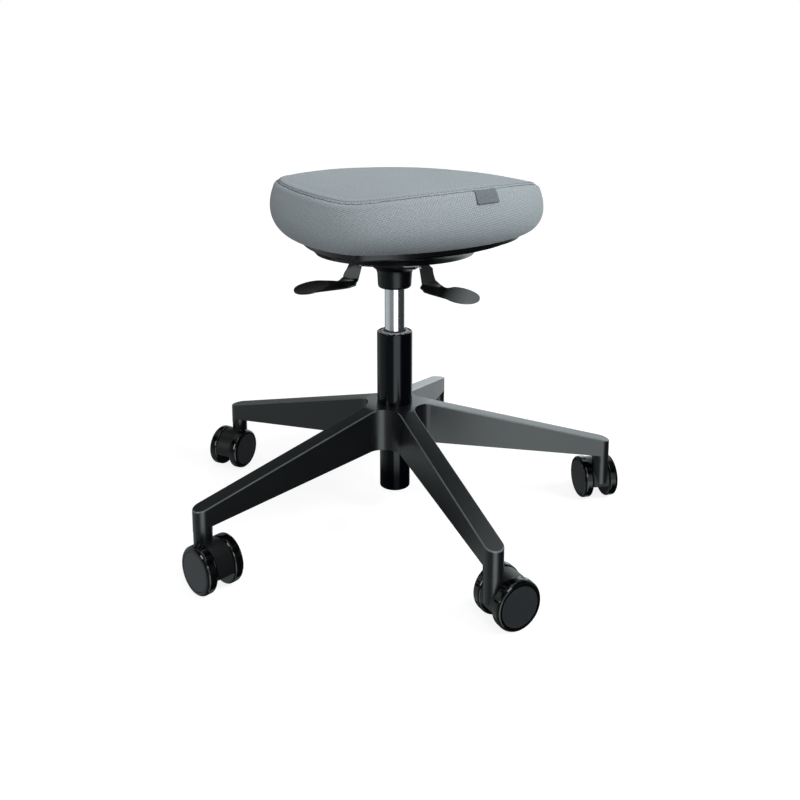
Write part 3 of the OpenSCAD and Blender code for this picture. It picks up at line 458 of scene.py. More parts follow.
# Seat form, in metres. t is counted from the nose, towards +X.
HALF, SETBACK, CORNER = 183 * MM, 24 * MM, 183 * 0.071 * MM
SEAT_Z, SEAM_H, CROWN_H = 398 * MM, 69 * MM, 93 * MM
SEAM_SLOPE, SEAM_FLANK, SEAM_DIP = 5.4 * MM, 4.8 * MM, 4.1 * MM
SWELL, SWELL_DROP = 11 * MM, 35 * MM
LOWER_INSET, LOWER_CORNER = 23 * MM, 183 * 0.0295 * MM
SWELL_END = math.radians(60)
CROWN_POWER = 2.4
SEAM_STEPS = 720


def outline(t, inset, ease=0.0):
    """Plan point of the seat's outline at angle t, inset from the seam."""
    reach = HALF - SETBACK * math.cos(t) + CORNER * math.cos(3 * t) - inset + ease * math.cos(3 * t)
    slope = SETBACK * math.sin(t) - 3 * (CORNER + ease) * math.sin(3 * t)
    return (reach * math.sin(t) + slope * math.cos(t), -(reach * math.cos(t) - slope * math.sin(t)))


def seam_height(t):
    return (SEAT_Z + SEAM_H + SEAM_SLOPE * math.cos(t) - SEAM_FLANK * math.cos(2 * t)
            - SEAM_DIP * math.cos(3 * t))


def lower_point(t, a, off=0.0):
    """Side below the widest line: a runs from 0 at the underside to a quarter turn. off insets it."""
    s = math.sin(a)
    x, y = outline(t, LOWER_INSET * (1 - s) - SWELL * s + off, LOWER_CORNER * (1 - s))
    low = seam_height(t) - SWELL_DROP
    return x, y, SEAT_Z + (low - SEAT_Z) * (1 - math.cos(a))


def upper_point(t, a, off=0.0):
    """Side above the widest line: a runs from 0 there to SWELL_END at the seam."""
    swell = SWELL * (math.cos(a) - math.cos(SWELL_END)) / (1 - math.cos(SWELL_END))
    x, y = outline(t, off - swell)
    return x, y, seam_height(t) - SWELL_DROP + SWELL_DROP * math.sin(a) / math.sin(SWELL_END)


def crown_point(t, s, off=0.0):
    """Top panel: s runs from 0 in the middle to 1 at the seam."""
    x, y = outline(t, off)
    top = SEAT_Z + CROWN_H
    return x * s, y * s, top + (seam_height(t) - top) * s ** CROWN_POWER - off


def seat_point(ring, fine, t, off):
    """Point of the padded seat on ring number ring, counted from the middle of its underside."""
    floor_rings, lower_rings, upper_rings, crown_rings = 4 * fine, 10 * fine, 6 * fine, 18 * fine
    if ring <= floor_rings:
        x, y, z = lower_point(t, 0, off)
        share = ring / floor_rings
        return x * share, y * share, z
    ring -= floor_rings
    if ring <= lower_rings:
        return lower_point(t, math.pi / 2 * ring / lower_rings, off)
    ring -= lower_rings
    if ring <= upper_rings:
        return upper_point(t, SWELL_END * ring / upper_rings, off)
    ring -= upper_rings
    return crown_point(t, 1 - ring / crown_rings, off)


def seat_form(name, off, fine=1):
    """A ball with as many rings as the seat needs, moved ring by ring onto the seat's form."""
    rings = 38 * fine
    deselect()
    bpy.ops.mesh.primitive_uv_sphere_add(segments=120 * fine, ring_count=rings, radius=1)
    piece = fresh(name)
    co = points_of(piece)
    ring = np.rint(np.arccos(np.clip(-co[:, 2], -1, 1)) / math.pi * rings).astype(int)
    t = np.arctan2(co[:, 0], -co[:, 1])
    set_points(piece, [seat_point(int(r), fine, float(a), off) for r, a in zip(ring, t)])
    return piece


def blow_up(piece, keep_still, limit):
    """Cloth under air pressure, its points moved no further than limit, then applied."""
    start = points_of(piece)
    group = piece.vertex_groups.new(name="held")
    for index, hold in enumerate(keep_still):
        if hold > 0:
            group.add([index], float(hold), "REPLACE")
    cloth = piece.modifiers.new("air", "CLOTH")
    cloth.settings.vertex_group_mass = "held"
    cloth.settings.use_pressure = True
    cloth.settings.uniform_pressure_force = 4
    cloth.settings.effector_weights.gravity = 0
    cloth.settings.quality = 5
    cloth.settings.tension_stiffness = 15
    cloth.settings.compression_stiffness = 15
    cloth.settings.bending_stiffness = 0.5
    scene = bpy.context.scene
    first, last = 1, 20
    scene.frame_start, scene.frame_end = first, last
    cloth.point_cache.frame_start, cloth.point_cache.frame_end = first, last
    for frame_number in range(first, last + 1):
        scene.frame_set(frame_number)
    apply_modifiers(piece)
    scene.frame_set(first)
    moved = points_of(piece) - start
    length = np.linalg.norm(moved, axis=1)
    scale = np.minimum(1, limit / np.maximum(length, 1e-9))
    return start, moved * scale[:, None]


def make_cushion():
    """The padded seat: blown up under its cover, held at its seam and along its underside."""
    slack, voxel, blown_most, fullness_depth = 3.5 * MM, 5 * MM, 6 * MM, 1.6 * MM
    floor_free, floor_band, seam_free, seam_band = 6 * MM, 3 * MM, 9 * MM, 5 * MM
    evening_rounds, let_out_share = 6, 0.8
    piece = seat_form("seat_cushion", slack)
    target = seat_form("seat_target", 0.0, fine=3)
    tree = surface_tree(target)
    only(piece)
    remesh = piece.modifiers.new("even", "REMESH")
    remesh.mode = "VOXEL"
    remesh.voxel_size = voxel
    apply_modifiers(piece)
    seam = KDTree(SEAM_STEPS)
    for k in range(SEAM_STEPS):
        seam.insert(upper_point(2 * math.pi * k / SEAM_STEPS, SWELL_END), k)
    seam.balance()
    start = points_of(piece)
    floor = np.clip((SEAT_Z + floor_free - start[:, 2]) / floor_band, 0, 1)
    near = np.array([seam.find(Vector(p))[2] for p in start])
    hold = np.maximum(floor, np.clip((seam_free - near) / seam_band, 0, 1))
    start, moved = blow_up(piece, hold, blown_most)
    length = np.linalg.norm(moved, axis=1)
    free = hold < 0.05
    puff = np.clip(length / max(float(np.mean(length[free])), 1e-9), 0.5, 1.35)
    # the fullness left by the air is evened out along the mesh, then laid on the seat's form
    ends = np.array([edge.vertices[:] for edge in piece.data.edges])
    share = np.bincount(ends.ravel(), minlength=len(start))
    for _ in range(evening_rounds):
        total = np.bincount(ends[:, 0], puff[ends[:, 1]], len(start)) + np.bincount(
            ends[:, 1], puff[ends[:, 0]], len(start))
        puff = 0.5 * puff + 0.5 * total / np.maximum(share, 1)
    final = []
    for p, fullness, rest in zip(start, puff, floor):
        place, normal, _, _ = tree.find_nearest(Vector(p))
        final.append(place + normal * fullness_depth * (float(fullness) - 1) * (1 - rest))
    set_points(piece, final)
    bpy.data.objects.remove(target, do_unlink=True)
    only(piece)
    smooth = piece.modifiers.new("even_out", "SMOOTH")
    smooth.factor = 0.5
    smooth.iterations = 2
    finer = piece.modifiers.new("finer", "SUBSURF")
    finer.levels = finer.render_levels = 1
    apply_modifiers(piece)
    # smoothing draws the form in a little where it is most rounded, so it is let out again
    co = points_of(piece)
    out = np.zeros_like(co)
    for index, p in enumerate(co):
        place, normal, _, _ = tree.find_nearest(Vector(p))
        out[index] = np.array(normal) * max(0.0, float((place - Vector(p)).dot(normal)))
    set_points(piece, co + out * let_out_share)
    return piece, seam


def crease_seam(piece, seam):
    """Draws the cover in along the seam and lets it stand a little proud beside it."""
    reach, depth, half_width = 16 * MM, 2.0 * MM, 2.6 * MM
    ridge, ridge_at, ridge_half_width = 0.7 * MM, 7 * MM, 3.6 * MM
    co = points_of(piece)
    normals = np.empty(len(co) * 3)
    piece.data.vertices.foreach_get("normal", normals)
    normals = normals.reshape(-1, 3)
    for index, p in enumerate(co):
        _, _, gap = seam.find(Vector(p))
        if gap <= reach:
            pull = depth * math.exp(-(gap / half_width) ** 2)
            swell = ridge * math.exp(-((gap - ridge_at) / ridge_half_width) ** 2)
            co[index] -= normals[index] * (pull - swell)
    co[:, 2] = np.maximum(co[:, 2], SEAT_Z)
    set_points(piece, co)


def map_cloth(piece):
    """Lays the cloth's own map: plan on the top, length along the seam and height on the side."""
    steps = SEAM_STEPS
    ring = [Vector(upper_point(-math.pi + 2 * math.pi * k / steps, SWELL_END)).xy for k in range(steps + 1)]
    along = np.concatenate([[0], np.cumsum([(b - a).length for a, b in zip(ring, ring[1:])])])
    layer = piece.data.uv_layers.new(name=CLOTH_MAP)
    co = points_of(piece)
    direction = np.arctan2(co[:, 0], -(co[:, 1] - SETBACK))
    plan = np.array([[p.x, p.y] for p in ring])
    plan_angle = np.unwrap(np.arctan2(plan[:, 0], -(plan[:, 1] - SETBACK)))
    plan_angle -= 2 * math.pi * round((plan_angle[0] + math.pi) / (2 * math.pi))
    total = along[-1]
    length = np.interp(direction, plan_angle, along)
    turn = np.interp(direction, plan_angle, np.linspace(-math.pi, math.pi, steps + 1))
    seam_z = np.array([seam_height(a) for a in turn])
    loops = np.empty(len(piece.data.loops), int)
    piece.data.loops.foreach_get("vertex_index", loops)
    uv = np.zeros((len(loops), 2))
    for face in piece.data.polygons:
        span = slice(face.loop_start, face.loop_start + face.loop_total)
        index = loops[span]
        if co[index, 2].mean() > seam_z[index].mean() - 0.5 * MM:
            uv[span] = co[index][:, :2]
            continue
        u = length[index].copy()
        if u.max() - u.min() > total / 2:
            u[u < total / 2] += total
        uv[span, 0] = u
        uv[span, 1] = co[index][:, 2]
    layer.data.foreach_set("uv", uv.ravel())


def make_crease_shade_cord(tree):
    """The sewn line: a thin dark cord, a ring that is laid into the crease all round, its dark colour painted
    shade of the crease.
    """
    steps, sides, radius, sunk = 480, 6, 0.55 * MM, 0.15 * MM
    deselect()
    bpy.ops.mesh.primitive_torus_add(major_segments=steps, minor_segments=sides, major_radius=HALF,
                                     minor_radius=radius)
    piece = fresh("seam_shade_cord")
    path = []
    for k in range(steps):
        t = 2 * math.pi * k / steps
        path.append(tree.find_nearest(Vector(upper_point(t, SWELL_END)))[:2])
    co = points_of(piece)
    turn = np.rint(np.arctan2(co[:, 0], -co[:, 1]) / (2 * math.pi) * steps).astype(int) % steps
    outward = np.hypot(co[:, 0], co[:, 1]) - HALF
    placed = []
    for k, out, up in zip(turn, outward, co[:, 2]):
        place, normal = path[k]
        along = (path[(k + 1) % steps][0] - path[k - 1][0]).normalized()
        side = normal.cross(along).normalized()
        placed.append(place + normal * (float(out) - sunk) - side * float(up))
    set_points(piece, placed)
    face_out(piece)
    return piece


def make_stitches(tree):
    """Top stitches on the upper panel: one small thread, copied all round beside the seam."""
    steps, thread_radius, stitch_length, stitch_pitch = 1440, 0.33 * MM, 2.6 * MM, 3.8 * MM
    row_at, end_round, proud = 0.979, 0.15 * MM, 0.1 * MM
    samples = []
    for k in range(steps):
        samples.append(tree.find_nearest(Vector(crown_point(2 * math.pi * k / steps, row_at)))[:2])
    lengths = np.concatenate([[0], np.cumsum([
        (samples[(k + 1) % steps][0] - samples[k][0]).length for k in range(steps)])])
    deselect()
    bpy.ops.mesh.primitive_cylinder_add(vertices=6, radius=thread_radius, depth=stitch_length)
    model = fresh("top_stitches")
    with whole_in_edit(model):
        bpy.ops.mesh.bevel(offset=end_round, segments=1, affect="EDGES")
    count = int(lengths[-1] / stitch_pitch)
    copies = []
    for j in range(count):
        k = int(np.searchsorted(lengths, lengths[-1] * (j + 0.5) / count)) % steps
        place, normal = samples[k]
        along = (samples[(k + 3) % steps][0] - samples[k - 3][0]).normalized()
        side = normal.cross(along).normalized()
        up = along.cross(side)
        stitch = model if j == 0 else model.copy()
        if j:
            stitch.data = model.data.copy()
            bpy.context.scene.collection.objects.link(stitch)
        turn = Matrix((side, up, along)).transposed().to_4x4()
        copies.append((stitch, Matrix.Translation(place + up * proud) @ turn))
    deselect()
    for stitch, place in copies:
        stitch.matrix_world = place
        stitch.select_set(True)
    bpy.context.view_layer.objects.active = model
    bpy.ops.object.join()
    return settle(model)


def make_tag(tree):
    """Small folded fabric tag, sewn into the seam and standing off a little at its lower edge."""
    deselect()
    bpy.ops.mesh.primitive_grid_add(x_subdivisions=24, y_subdivisions=10, size=2)
    piece = fresh("side_tag")
    co = points_of(piece)
    start, width, height = math.radians(53.7), 36 * MM, 17 * MM
    sheet, steps, step = 0.9 * MM, 400, 0.1
    below_seam, clear, flare, belly = 0.8 * MM, 0.4 * MM, 1.1 * MM, 0.5 * MM
    ring = [Vector(upper_point(start + math.radians(k * step), SWELL_END)) for k in range(steps)]
    run = np.concatenate([[0], np.cumsum([(b - a).length for a, b in zip(ring, ring[1:])])])
    moved = []
    for x, y, _ in co:
        share = (x + 1) / 2
        down = (1 - y) / 2
        t = start + math.radians(step * float(np.interp(share * width, run, np.arange(steps))))
        drop = below_seam + down * height
        angle = math.asin(math.sin(SWELL_END) * (1 - drop / SWELL_DROP))
        place, normal, _, _ = tree.find_nearest(Vector(upper_point(t, angle)))
        lift = clear + flare * down ** 2 + belly * down * math.sin(share * math.pi)
        moved.append(place + normal * lift)
    set_points(piece, moved)
    layer = piece.data.uv_layers[0] if piece.data.uv_layers else piece.data.uv_layers.new()
    layer.name = CLOTH_MAP
    for loop in piece.data.loops:
        x, y, _ = co[loop.vertex_index]
        layer.data[loop.index].uv = ((x + 1) / 2 * width, (y + 1) / 2 * height)
    thick = piece.modifiers.new("thick", "SOLIDIFY")
    thick.thickness = sheet
    thick.offset = 1
    round_edges(piece, 0.3 * MM, 2)
    apply_modifiers(piece)
    return piece


def on_seat(piece, finish, angle=60):
    piece.data.materials.append(finish)
    soften(piece, angle)
    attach(piece, "seat")
    return piece


cushion, seam_points = make_cushion()
crease_seam(cushion, seam_points)
map_cloth(cushion)
on_seat(cushion, seat_cloth)
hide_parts("seat_foam", "seat_cover")
cushion_tree = surface_tree(cushion)
on_seat(make_crease_shade_cord(cushion_tree), thread_and_crease_shade)
on_seat(make_stitches(cushion_tree), thread_and_crease_shade)
tag = on_seat(make_tag(cushion_tree), tag_cloth, 40)
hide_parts("label_tag")


# Seat pan, with the same outline as the cushion's lower edge
DISH_R, OPENING_R, DISH_H, WING_H, PAN_WALL = 183 * 0.605 * MM, 80 * MM, 16.5 * MM, 2.5 * MM, 2.2 * MM
BOARD_Z = SEAT_Z - 5 * MM
RIM_GAP = 1.6 * MM


def make_pan():
    """Moulded shell: round dish with two lips, then a thin wing out to the cushion's lower edge."""
    low = BOARD_Z - DISH_H
    flank = BOARD_Z - DISH_H * 0.45
    wing = BOARD_Z - WING_H
    lip = DISH_R + 5.8 * MM
    # radius, share of the way from there to the rim, height
    profile = [
        (OPENING_R, 0, low), (DISH_R - 7 * MM, 0, low), (DISH_R - 3.3 * MM, 0, low),
        (DISH_R - 1.2 * MM, 0, low + 0.7 * MM), (DISH_R, 0, low + 2.3 * MM),
        (DISH_R + 1.5 * MM, 0, low + 4 * MM), (DISH_R + 4.2 * MM, 0, flank - 1.2 * MM),
        (lip, 0, flank), (lip, 0.06, flank + 0.3 * MM),
        (lip, 0.35, flank + (wing - flank) * 0.26), (lip, 0.75, flank + (wing - flank) * 0.66),
        (0, 0.97, wing - 0.15 * MM), (0, 1, wing + 0.7 * MM), (0, 1, SEAT_Z - 0.3 * MM),
    ]
    piece, co, rings = stacked_rings("seat_pan_shell", 144, OPENING_R, len(profile))
    placed = []
    for ring, t in zip(rings, np.arctan2(co[:, 0], -co[:, 1])):
        radius, share, z = profile[ring]
        rim_x, rim_y = outline(float(t), LOWER_INSET + RIM_GAP, LOWER_CORNER)
        placed.append((
            radius * math.sin(t) * (1 - share) + rim_x * share,
            -radius * math.cos(t) * (1 - share) + rim_y * share,
            z,
        ))
    set_points(piece, placed)
    thick = piece.modifiers.new("wall", "SOLIDIFY")
    thick.thickness = PAN_WALL
    thick.offset = -1
    face_out(piece)
    if min(piece.data.polygons, key=lambda p: p.center.z).normal.z > 0:
        flip_faces(piece)
    apply_modifiers(piece)
    return piece


pan = on_seat(make_pan(), pan_moulding, 32)
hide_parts("seat_pan")

rounded_copy("base_star", "star_base", "base", charcoal_coat, 1.3 * MM, segments=2,
             highlight_finish=charcoal_painted_highlight, clear_of=44 * MM)
rounded_copy("column_tube", "column_sleeve", "base", gloss_paint, 0.6 * MM, flat=0.5)
rounded_copy("mechanism_base", "seat_mechanism", "cylinder", satin_paint, 0.7 * MM,
             segments=2, highlight_finish=satin_painted_highlight)

TUBE_TOP = 263.5


def turned_ring(name, finish, profile, notches=0):
    """A ring turned from a profile of radius and height in mm, its outer edge notched."""
    notch_share, notch_inside, notch_under, notch_depth, notch_drop = 0.34, 18 * MM, 1.3, 1.6 * MM, 1.9 * MM
    piece, co, rings = stacked_rings(name, 168, 20 * MM, len(profile))
    turn = np.arctan2(co[:, 1], co[:, 0])
    radius, height = np.array(profile)[rings].T * MM
    if notches:
        cut = ((turn / (2 * math.pi) * notches + 0.01) % 1 < notch_share) & (radius > notch_inside)
        height = height - cut * notch_drop * (height > (TUBE_TOP - notch_under) * MM)
        radius = radius - cut * notch_depth
    set_points(piece, np.stack([radius * np.cos(turn), radius * np.sin(turn), height], 1))
    face_out(piece)
    soften(piece, 35)
    piece.data.materials.append(finish)
    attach(piece, "base")


turned_ring("bush_crown", crown_moulding, [
    (15.6, TUBE_TOP - 1.6), (15.6, TUBE_TOP + 0.2), (16.1, TUBE_TOP + 0.7), (19.2, TUBE_TOP + 0.7),
    (20.3, TUBE_TOP + 0.1), (20.7, TUBE_TOP - 1.6), (15.6, TUBE_TOP - 1.6)], notches=14)
turned_ring("rod_wiper", black_rubber, [
    (14.25, TUBE_TOP - 1.6), (14.25, TUBE_TOP + 2.0), (14.5, TUBE_TOP + 2.2), (14.9, TUBE_TOP + 1.9),
    (15.4, TUBE_TOP + 0.1), (15.4, TUBE_TOP - 1.6), (14.25, TUBE_TOP - 1.6)])

# Paddle levers: strip, foot and oval of one pressed sheet. The arm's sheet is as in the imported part.
STRIP_W, SHEET, SHAFT_Z, BEND_Z, LUG_R = 19 * MM, 3 * MM, 369 * MM, 342 * MM, 7.2 * MM
PADDLE_SHEET, DISH_DEPTH, ARM_SQUASH = 2.2 * MM, 1.1 * MM, 0.68
OVAL_A, OVAL_B, OVAL_BACK, NECK_W = 26 * MM, 19.5 * MM, 16.6 * MM, 12.87 * MM
PITCH, ROLL = math.radians(17.5), math.radians(9.5)


def lever_rows(strip_x, lean, tip_x, front, corner):
    """Rows across the sheet from its outer to its inner edge, each with the point where it bends.

    The strip's rows are shares of its width w, the foot's of w and the neck's width.
    """
    inner = strip_x - STRIP_W / 2
    low_in = inner + (SHAFT_Z - BEND_Z) * math.tan(lean)
    reach = (tip_x - low_in) / math.cos(ROLL)
    middle = reach - OVAL_A

    def upright(x, z, back=0.0):
        return np.array([low_in + x, back * MM - front, BEND_Z + z])

    def lying(u, v):
        x, y, z = u, v * math.cos(PITCH), v * math.sin(PITCH)
        return np.array([low_in + x * math.cos(ROLL) + z * math.sin(ROLL), y - front,
                         BEND_Z - x * math.sin(ROLL) + z * math.cos(ROLL)])

    slope = math.tan(lean)
    w = STRIP_W
    rise = SHAFT_Z - BEND_Z
    keys = [
        (upright(w - rise * slope - 0.3 * w, rise + 0.6 * MM), None,
         upright(0.12 * w - rise * slope, rise + 1 * MM)),
        (upright(w - rise * slope, rise - 4 * MM), None, upright(-rise * slope, rise - 1.5 * MM)),
        (upright(0.965 * w - 0.8 * w * slope, 0.8 * w), None, upright(-0.8 * w * slope, 0.8 * w)),
        (upright(0.92 * w, 0.55 * w), None, upright(-0.40 * w * slope, 0.40 * w)),
        (upright(0.955 * w, 0.45 * w), None, upright(-0.12 * w * slope, 0.12 * w)),
        (upright(0.985 * w, 0.39 * w), None, upright(0, 0.0)),
        (upright(w, 0.36 * w), lying(0.04 * w, 0), lying(0, -0.5 * NECK_W)),
        (upright(1.05 * w, 0.29 * w), lying(0.16 * w, 0), lying(*corner)),
        (upright(1.14 * w, 0.21 * w, 0.8), lying(0.5 * w, 0), lying(0.42 * w, -1.08 * NECK_W)),
        (upright(1.34 * w, 0.08 * w, 3.4), lying(1.0 * w, 0), lying(0.85 * w, -1.17 * NECK_W)),
    ]
    shoulder = np.array([middle - 0.5 * OVAL_A, 0.866 * OVAL_BACK])
    neck_end = np.array([1.84 * w, 0.68 * NECK_W])
    front_start = np.array([0.85 * w, -1.17 * NECK_W])
    front_end = np.array([middle - 0.5 * OVAL_A, -0.866 * OVAL_B])
    ways = [(np.array([1.58 * w, 0.5 * NECK_W]), 0.35), (neck_end, 0.6),
            ((neck_end + shoulder) / 2, 0.82), (shoulder, 1)]
    pairs = [(back, front_start + (front_end - front_start) * share) for back, share in ways]
    for k in range(1, 15):
        a, b = math.radians(120 + (4 - 120) * k / 14), math.radians(240 + (356 - 240) * k / 14)
        pairs.append((np.array([middle + OVAL_A * math.cos(a), OVAL_BACK * math.sin(a)]),
                      np.array([middle + OVAL_A * math.cos(b), OVAL_B * math.sin(b)])))
    for back, ahead in pairs:
        share = back[1] / (back[1] - ahead[1])
        keys.append((lying(*back), lying(*(back + (ahead - back) * share)), lying(*ahead)))
    return keys, lying, middle


def through(points, places, straight=0):
    """A run through key points, read at the given places: straight at first, smooth from then on."""
    points = np.asarray(points)
    out = []
    last = len(points) - 1
    for place in places:
        k = min(int(place), last - 1)
        f = place - k
        a, b = points[k], points[k + 1]
        if k < straight:
            out.append(a + (b - a) * f)
            continue
        before = points[k - 1] if k else 2 * a - b
        after = points[k + 2] if k + 2 <= last else 2 * b - a
        out.append(0.5 * ((2 * a) + (b - before) * f + (2 * before - 5 * a + 4 * b - after) * f ** 2
                          + (3 * a - before - 3 * b + after) * f ** 3))
    return np.array(out)


def lever_grid(keys, lying, middle, turned):
    """Points of the sheet, row by row: laid across each bend, evened out, turned and dished."""
    per_key, columns = 4, 24
    first_bend, last_bend, strip_end, even_steps = 5 * per_key, 14 * per_key, 6 * per_key, 40
    outer_straight, inner_straight, smoothing_rounds = 14, 9, 7
    places = np.arange(0, (len(keys) - 1) * per_key + 1) / per_key
    outer = through([k[0] for k in keys], places, outer_straight)
    low, high = 4 * per_key, 15 * per_key
    for _ in range(smoothing_rounds):
        outer[low:high] = outer[low:high] / 2 + (outer[low - 1:high - 1] + outer[low + 1:high + 1]) / 4
    inner = through([k[2] for k in keys], places, inner_straight)
    bends = through([k[1] if k[1] is not None else k[2] for k in keys], places, len(keys))
    rows = len(places)
    grid = np.zeros((rows, columns + 1, 3))
    for r in range(rows):
        first = np.linalg.norm(bends[r] - outer[r])
        second = np.linalg.norm(inner[r] - bends[r])
        for c in range(columns + 1):
            run = c / columns * (first + second)
            if run <= first:
                grid[r, c] = outer[r] + (bends[r] - outer[r]) * (run / max(first, 1e-9))
            else:
                grid[r, c] = bends[r] + (inner[r] - bends[r]) * ((run - first) / max(second, 1e-9))
    for step in range(even_steps):
        even = grid.copy()
        even[1:-1, 1:-1] = (grid[:-2, 1:-1] + grid[2:, 1:-1] + grid[1:-1, :-2] + grid[1:-1, 2:]) / 4
        for r in range(first_bend, last_bend):
            if step < even_steps * min(1.0, 0.1 + (r - first_bend) / (5.0 * per_key)):
                grid[r, 1:-1] = grid[r, 1:-1] * 0.4 + even[r, 1:-1] * 0.6
    # the strip turns its face a little towards the column between the shaft and the bend
    height = np.clip((grid[:, :, 2] - BEND_Z) / (3 * MM), 0, 1)
    height *= np.clip((SHAFT_Z - grid[:, :, 2]) / (10 * MM), 0, 1)
    line = (inner[:, None, 0] + outer[:, None, 0]) / 2
    upright_rows = np.arange(rows)[:, None] <= strip_end
    grid[:, :, 1] -= np.where(upright_rows, height * math.tan(turned) * (grid[:, :, 0] - line), 0)
    # the oval is dished
    across, along = lying(0, 1) - lying(0, 0), lying(1, 0) - lying(0, 0)
    up = np.cross(along, across)
    for r in range(first_bend, rows):
        offset = grid[r] - lying(middle, 0)
        rho = np.hypot(offset @ along / (OVAL_A * 1.05), offset @ across / OVAL_B)
        grid[r] -= np.outer(np.clip(1 - rho ** 2, 0, 1) * DISH_DEPTH, up)
    return grid


def lever_arm(side, strip_x, front, turn):
    """The arm from the strip to its shaft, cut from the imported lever."""
    arm = merged_copy(side + "_lever", side + "_arm")
    with whole_in_edit(arm):
        bpy.ops.mesh.bisect(plane_co=(turn * (strip_x - STRIP_W * 0.3), 0, 0), plane_no=(turn, 0, 0),
                            clear_outer=True, use_fill=True)
        bpy.ops.mesh.select_all(action="SELECT")
        bpy.ops.mesh.bisect(plane_co=(0, 0, SHAFT_Z - LUG_R - 1 * MM), plane_no=(0, 0, -1),
                            clear_outer=True, use_fill=True)
        bpy.ops.mesh.select_all(action="SELECT")
        bpy.ops.mesh.normals_make_consistent(inside=False)
    co = points_of(arm)
    co[:, 1] = (co[:, 1] + front - SHEET / 2) * 0.96 - front + SHEET / 2
    co[:, 2] = (co[:, 2] - SHAFT_Z) * ARM_SQUASH + SHAFT_Z
    set_points(arm, co)
    return arm


def make_lever(side, strip_x, lean, tip_x, front, turn, turned, corner, finish):
    """One pressed sheet whose rows follow the strip, the bend and the dished oval, and its arm."""
    keys, lying, middle = lever_rows(strip_x, lean, tip_x, front, corner)
    grid = lever_grid(keys, lying, middle, turned)
    rows, columns = grid.shape[0] - 1, grid.shape[1] - 1
    deselect()
    bpy.ops.mesh.primitive_grid_add(x_subdivisions=columns, y_subdivisions=rows, size=2)
    piece = fresh(side + "_paddle")
    co = points_of(piece)
    column = np.rint((co[:, 0] + 1) / 2 * columns).astype(int)
    row = np.rint((1 - co[:, 1]) / 2 * rows).astype(int)
    set_points(piece, grid[row, column] * (turn, 1, 1))
    if sum(f.normal.z for f in piece.data.polygons if f.center.z < BEND_Z - 4 * MM) < 0:
        flip_faces(piece)
    thick = piece.modifiers.new("sheet", "SOLIDIFY")
    thick.thickness = PADDLE_SHEET
    thick.offset = -1
    # the rounded edges get the second slot, the paler satin that paints their highlight
    round_edges(piece, 0.7 * MM, 3, material=1)
    piece.data.materials.append(finish)
    piece.data.materials.append(satin_painted_highlight)
    apply_modifiers(piece)
    arm = lever_arm(side, strip_x, front, turn)
    only(piece)
    arm.select_set(True)
    bpy.ops.object.join()
    soften(piece, 40)
    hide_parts(side + "_lever")
    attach(piece, side + "_handle")


make_lever("lift", 39.5 * MM, math.radians(15), 131 * MM, 49 * MM, -1,
           math.radians(24), (-0.4 * MM, -9.3 * MM), lever_paint)
make_lever("tilt", 57.5 * MM, math.radians(9), 131 * MM, 44 * MM, 1,
           math.radians(2), (4.5 * MM, -9.9 * MM), tilt_paddle_painted_light)


def make_caster(caster):
    """Hood with its matte collar in one moulding, and the disc in each wheel."""
    collar_r, collar_low = 11.75 * MM, 30.2 * MM
    shell = rounded_copy(f"{caster}_housing", f"{caster}_hood", f"{caster}_fork",
                         hood_moulding, 1.0 * MM)
    shell.data.materials.append(charcoal_coat)
    low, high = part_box(f"{caster}_stem")
    centre = (low + high) / 2
    for face in shell.data.polygons:
        if (face.center.xy - centre.xy).length < collar_r and face.center.z > collar_low:
            face.material_index = 1
    for side in ("left", "right"):
        rounded_copy(f"{caster}_cap_{side}", f"{caster}_disc_{side}", f"{caster}_{side}",
                     cap_moulding, 0.6 * MM, segments=2, flat=0.5)


carried = [
    (satin_paint, ["guide_bush", "tilt_frame", "tilt_shaft", "lift_shaft", "release_shaft"]),
    (plain_steel, ["thrust_bearing", "piston_rod", "valve_pin", "brake_plate"]),
    (dark_steel, ["retaining_clip", "frame_screws", "pan_screws"]),
    (black_rubber, ["tilt_bushes", "tilt_buffers"]),
    (satin_chrome, ["gas_cylinder"]),
    (raw_plywood, ["seat_board"]),
]
for number in range(1, 6):
    caster = f"caster_{number}"
    make_caster(caster)
    carried += [(plain_steel, [f"{caster}_stem", f"{caster}_axle"]),
                (caster_gloss, [f"{caster}_wheel_left", f"{caster}_wheel_right"])]
for finish, names in carried:
    for name in names:
        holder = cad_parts[name]
        if not holder.data.materials:
            holder.data.materials.append(finish)
        for slot in holder.material_slots:
            slot.material = finish


# Floor and light. A bearing is 0 in front of the seat's nose and 90 on its left.
WALL_TOP, AMBIENT = 3.0, 0.27
LOW_STOPS = [
    (-180, 0.9), (-175, 0.35), (-164, 0.15), (-148, 0.06), (-126, 0.06), (-114, 0.55), (-98, 0.5), (-50, 0.42),
    (-35, 0.22), (8, 0.22), (15, 2.6), (50, 2.6), (58, 0.05), (150, 0.03), (164, 0.7), (172, 1.1), (180, 0.9)]
HIGH_STOPS = [
    (-180, 1.8), (-168, 2.2), (-162, 1.8), (-159, 0.8), (-155, 0.3), (-125, 0.2), (-112, 0.6), (-80, 0.6),
    (-60, 0.2), (12, 0.18), (20, 1.4), (48, 1.4), (58, 0.1), (130, 0.12), (158, 1.4), (180, 1.8)]
WHITE = (1, 1, 1)


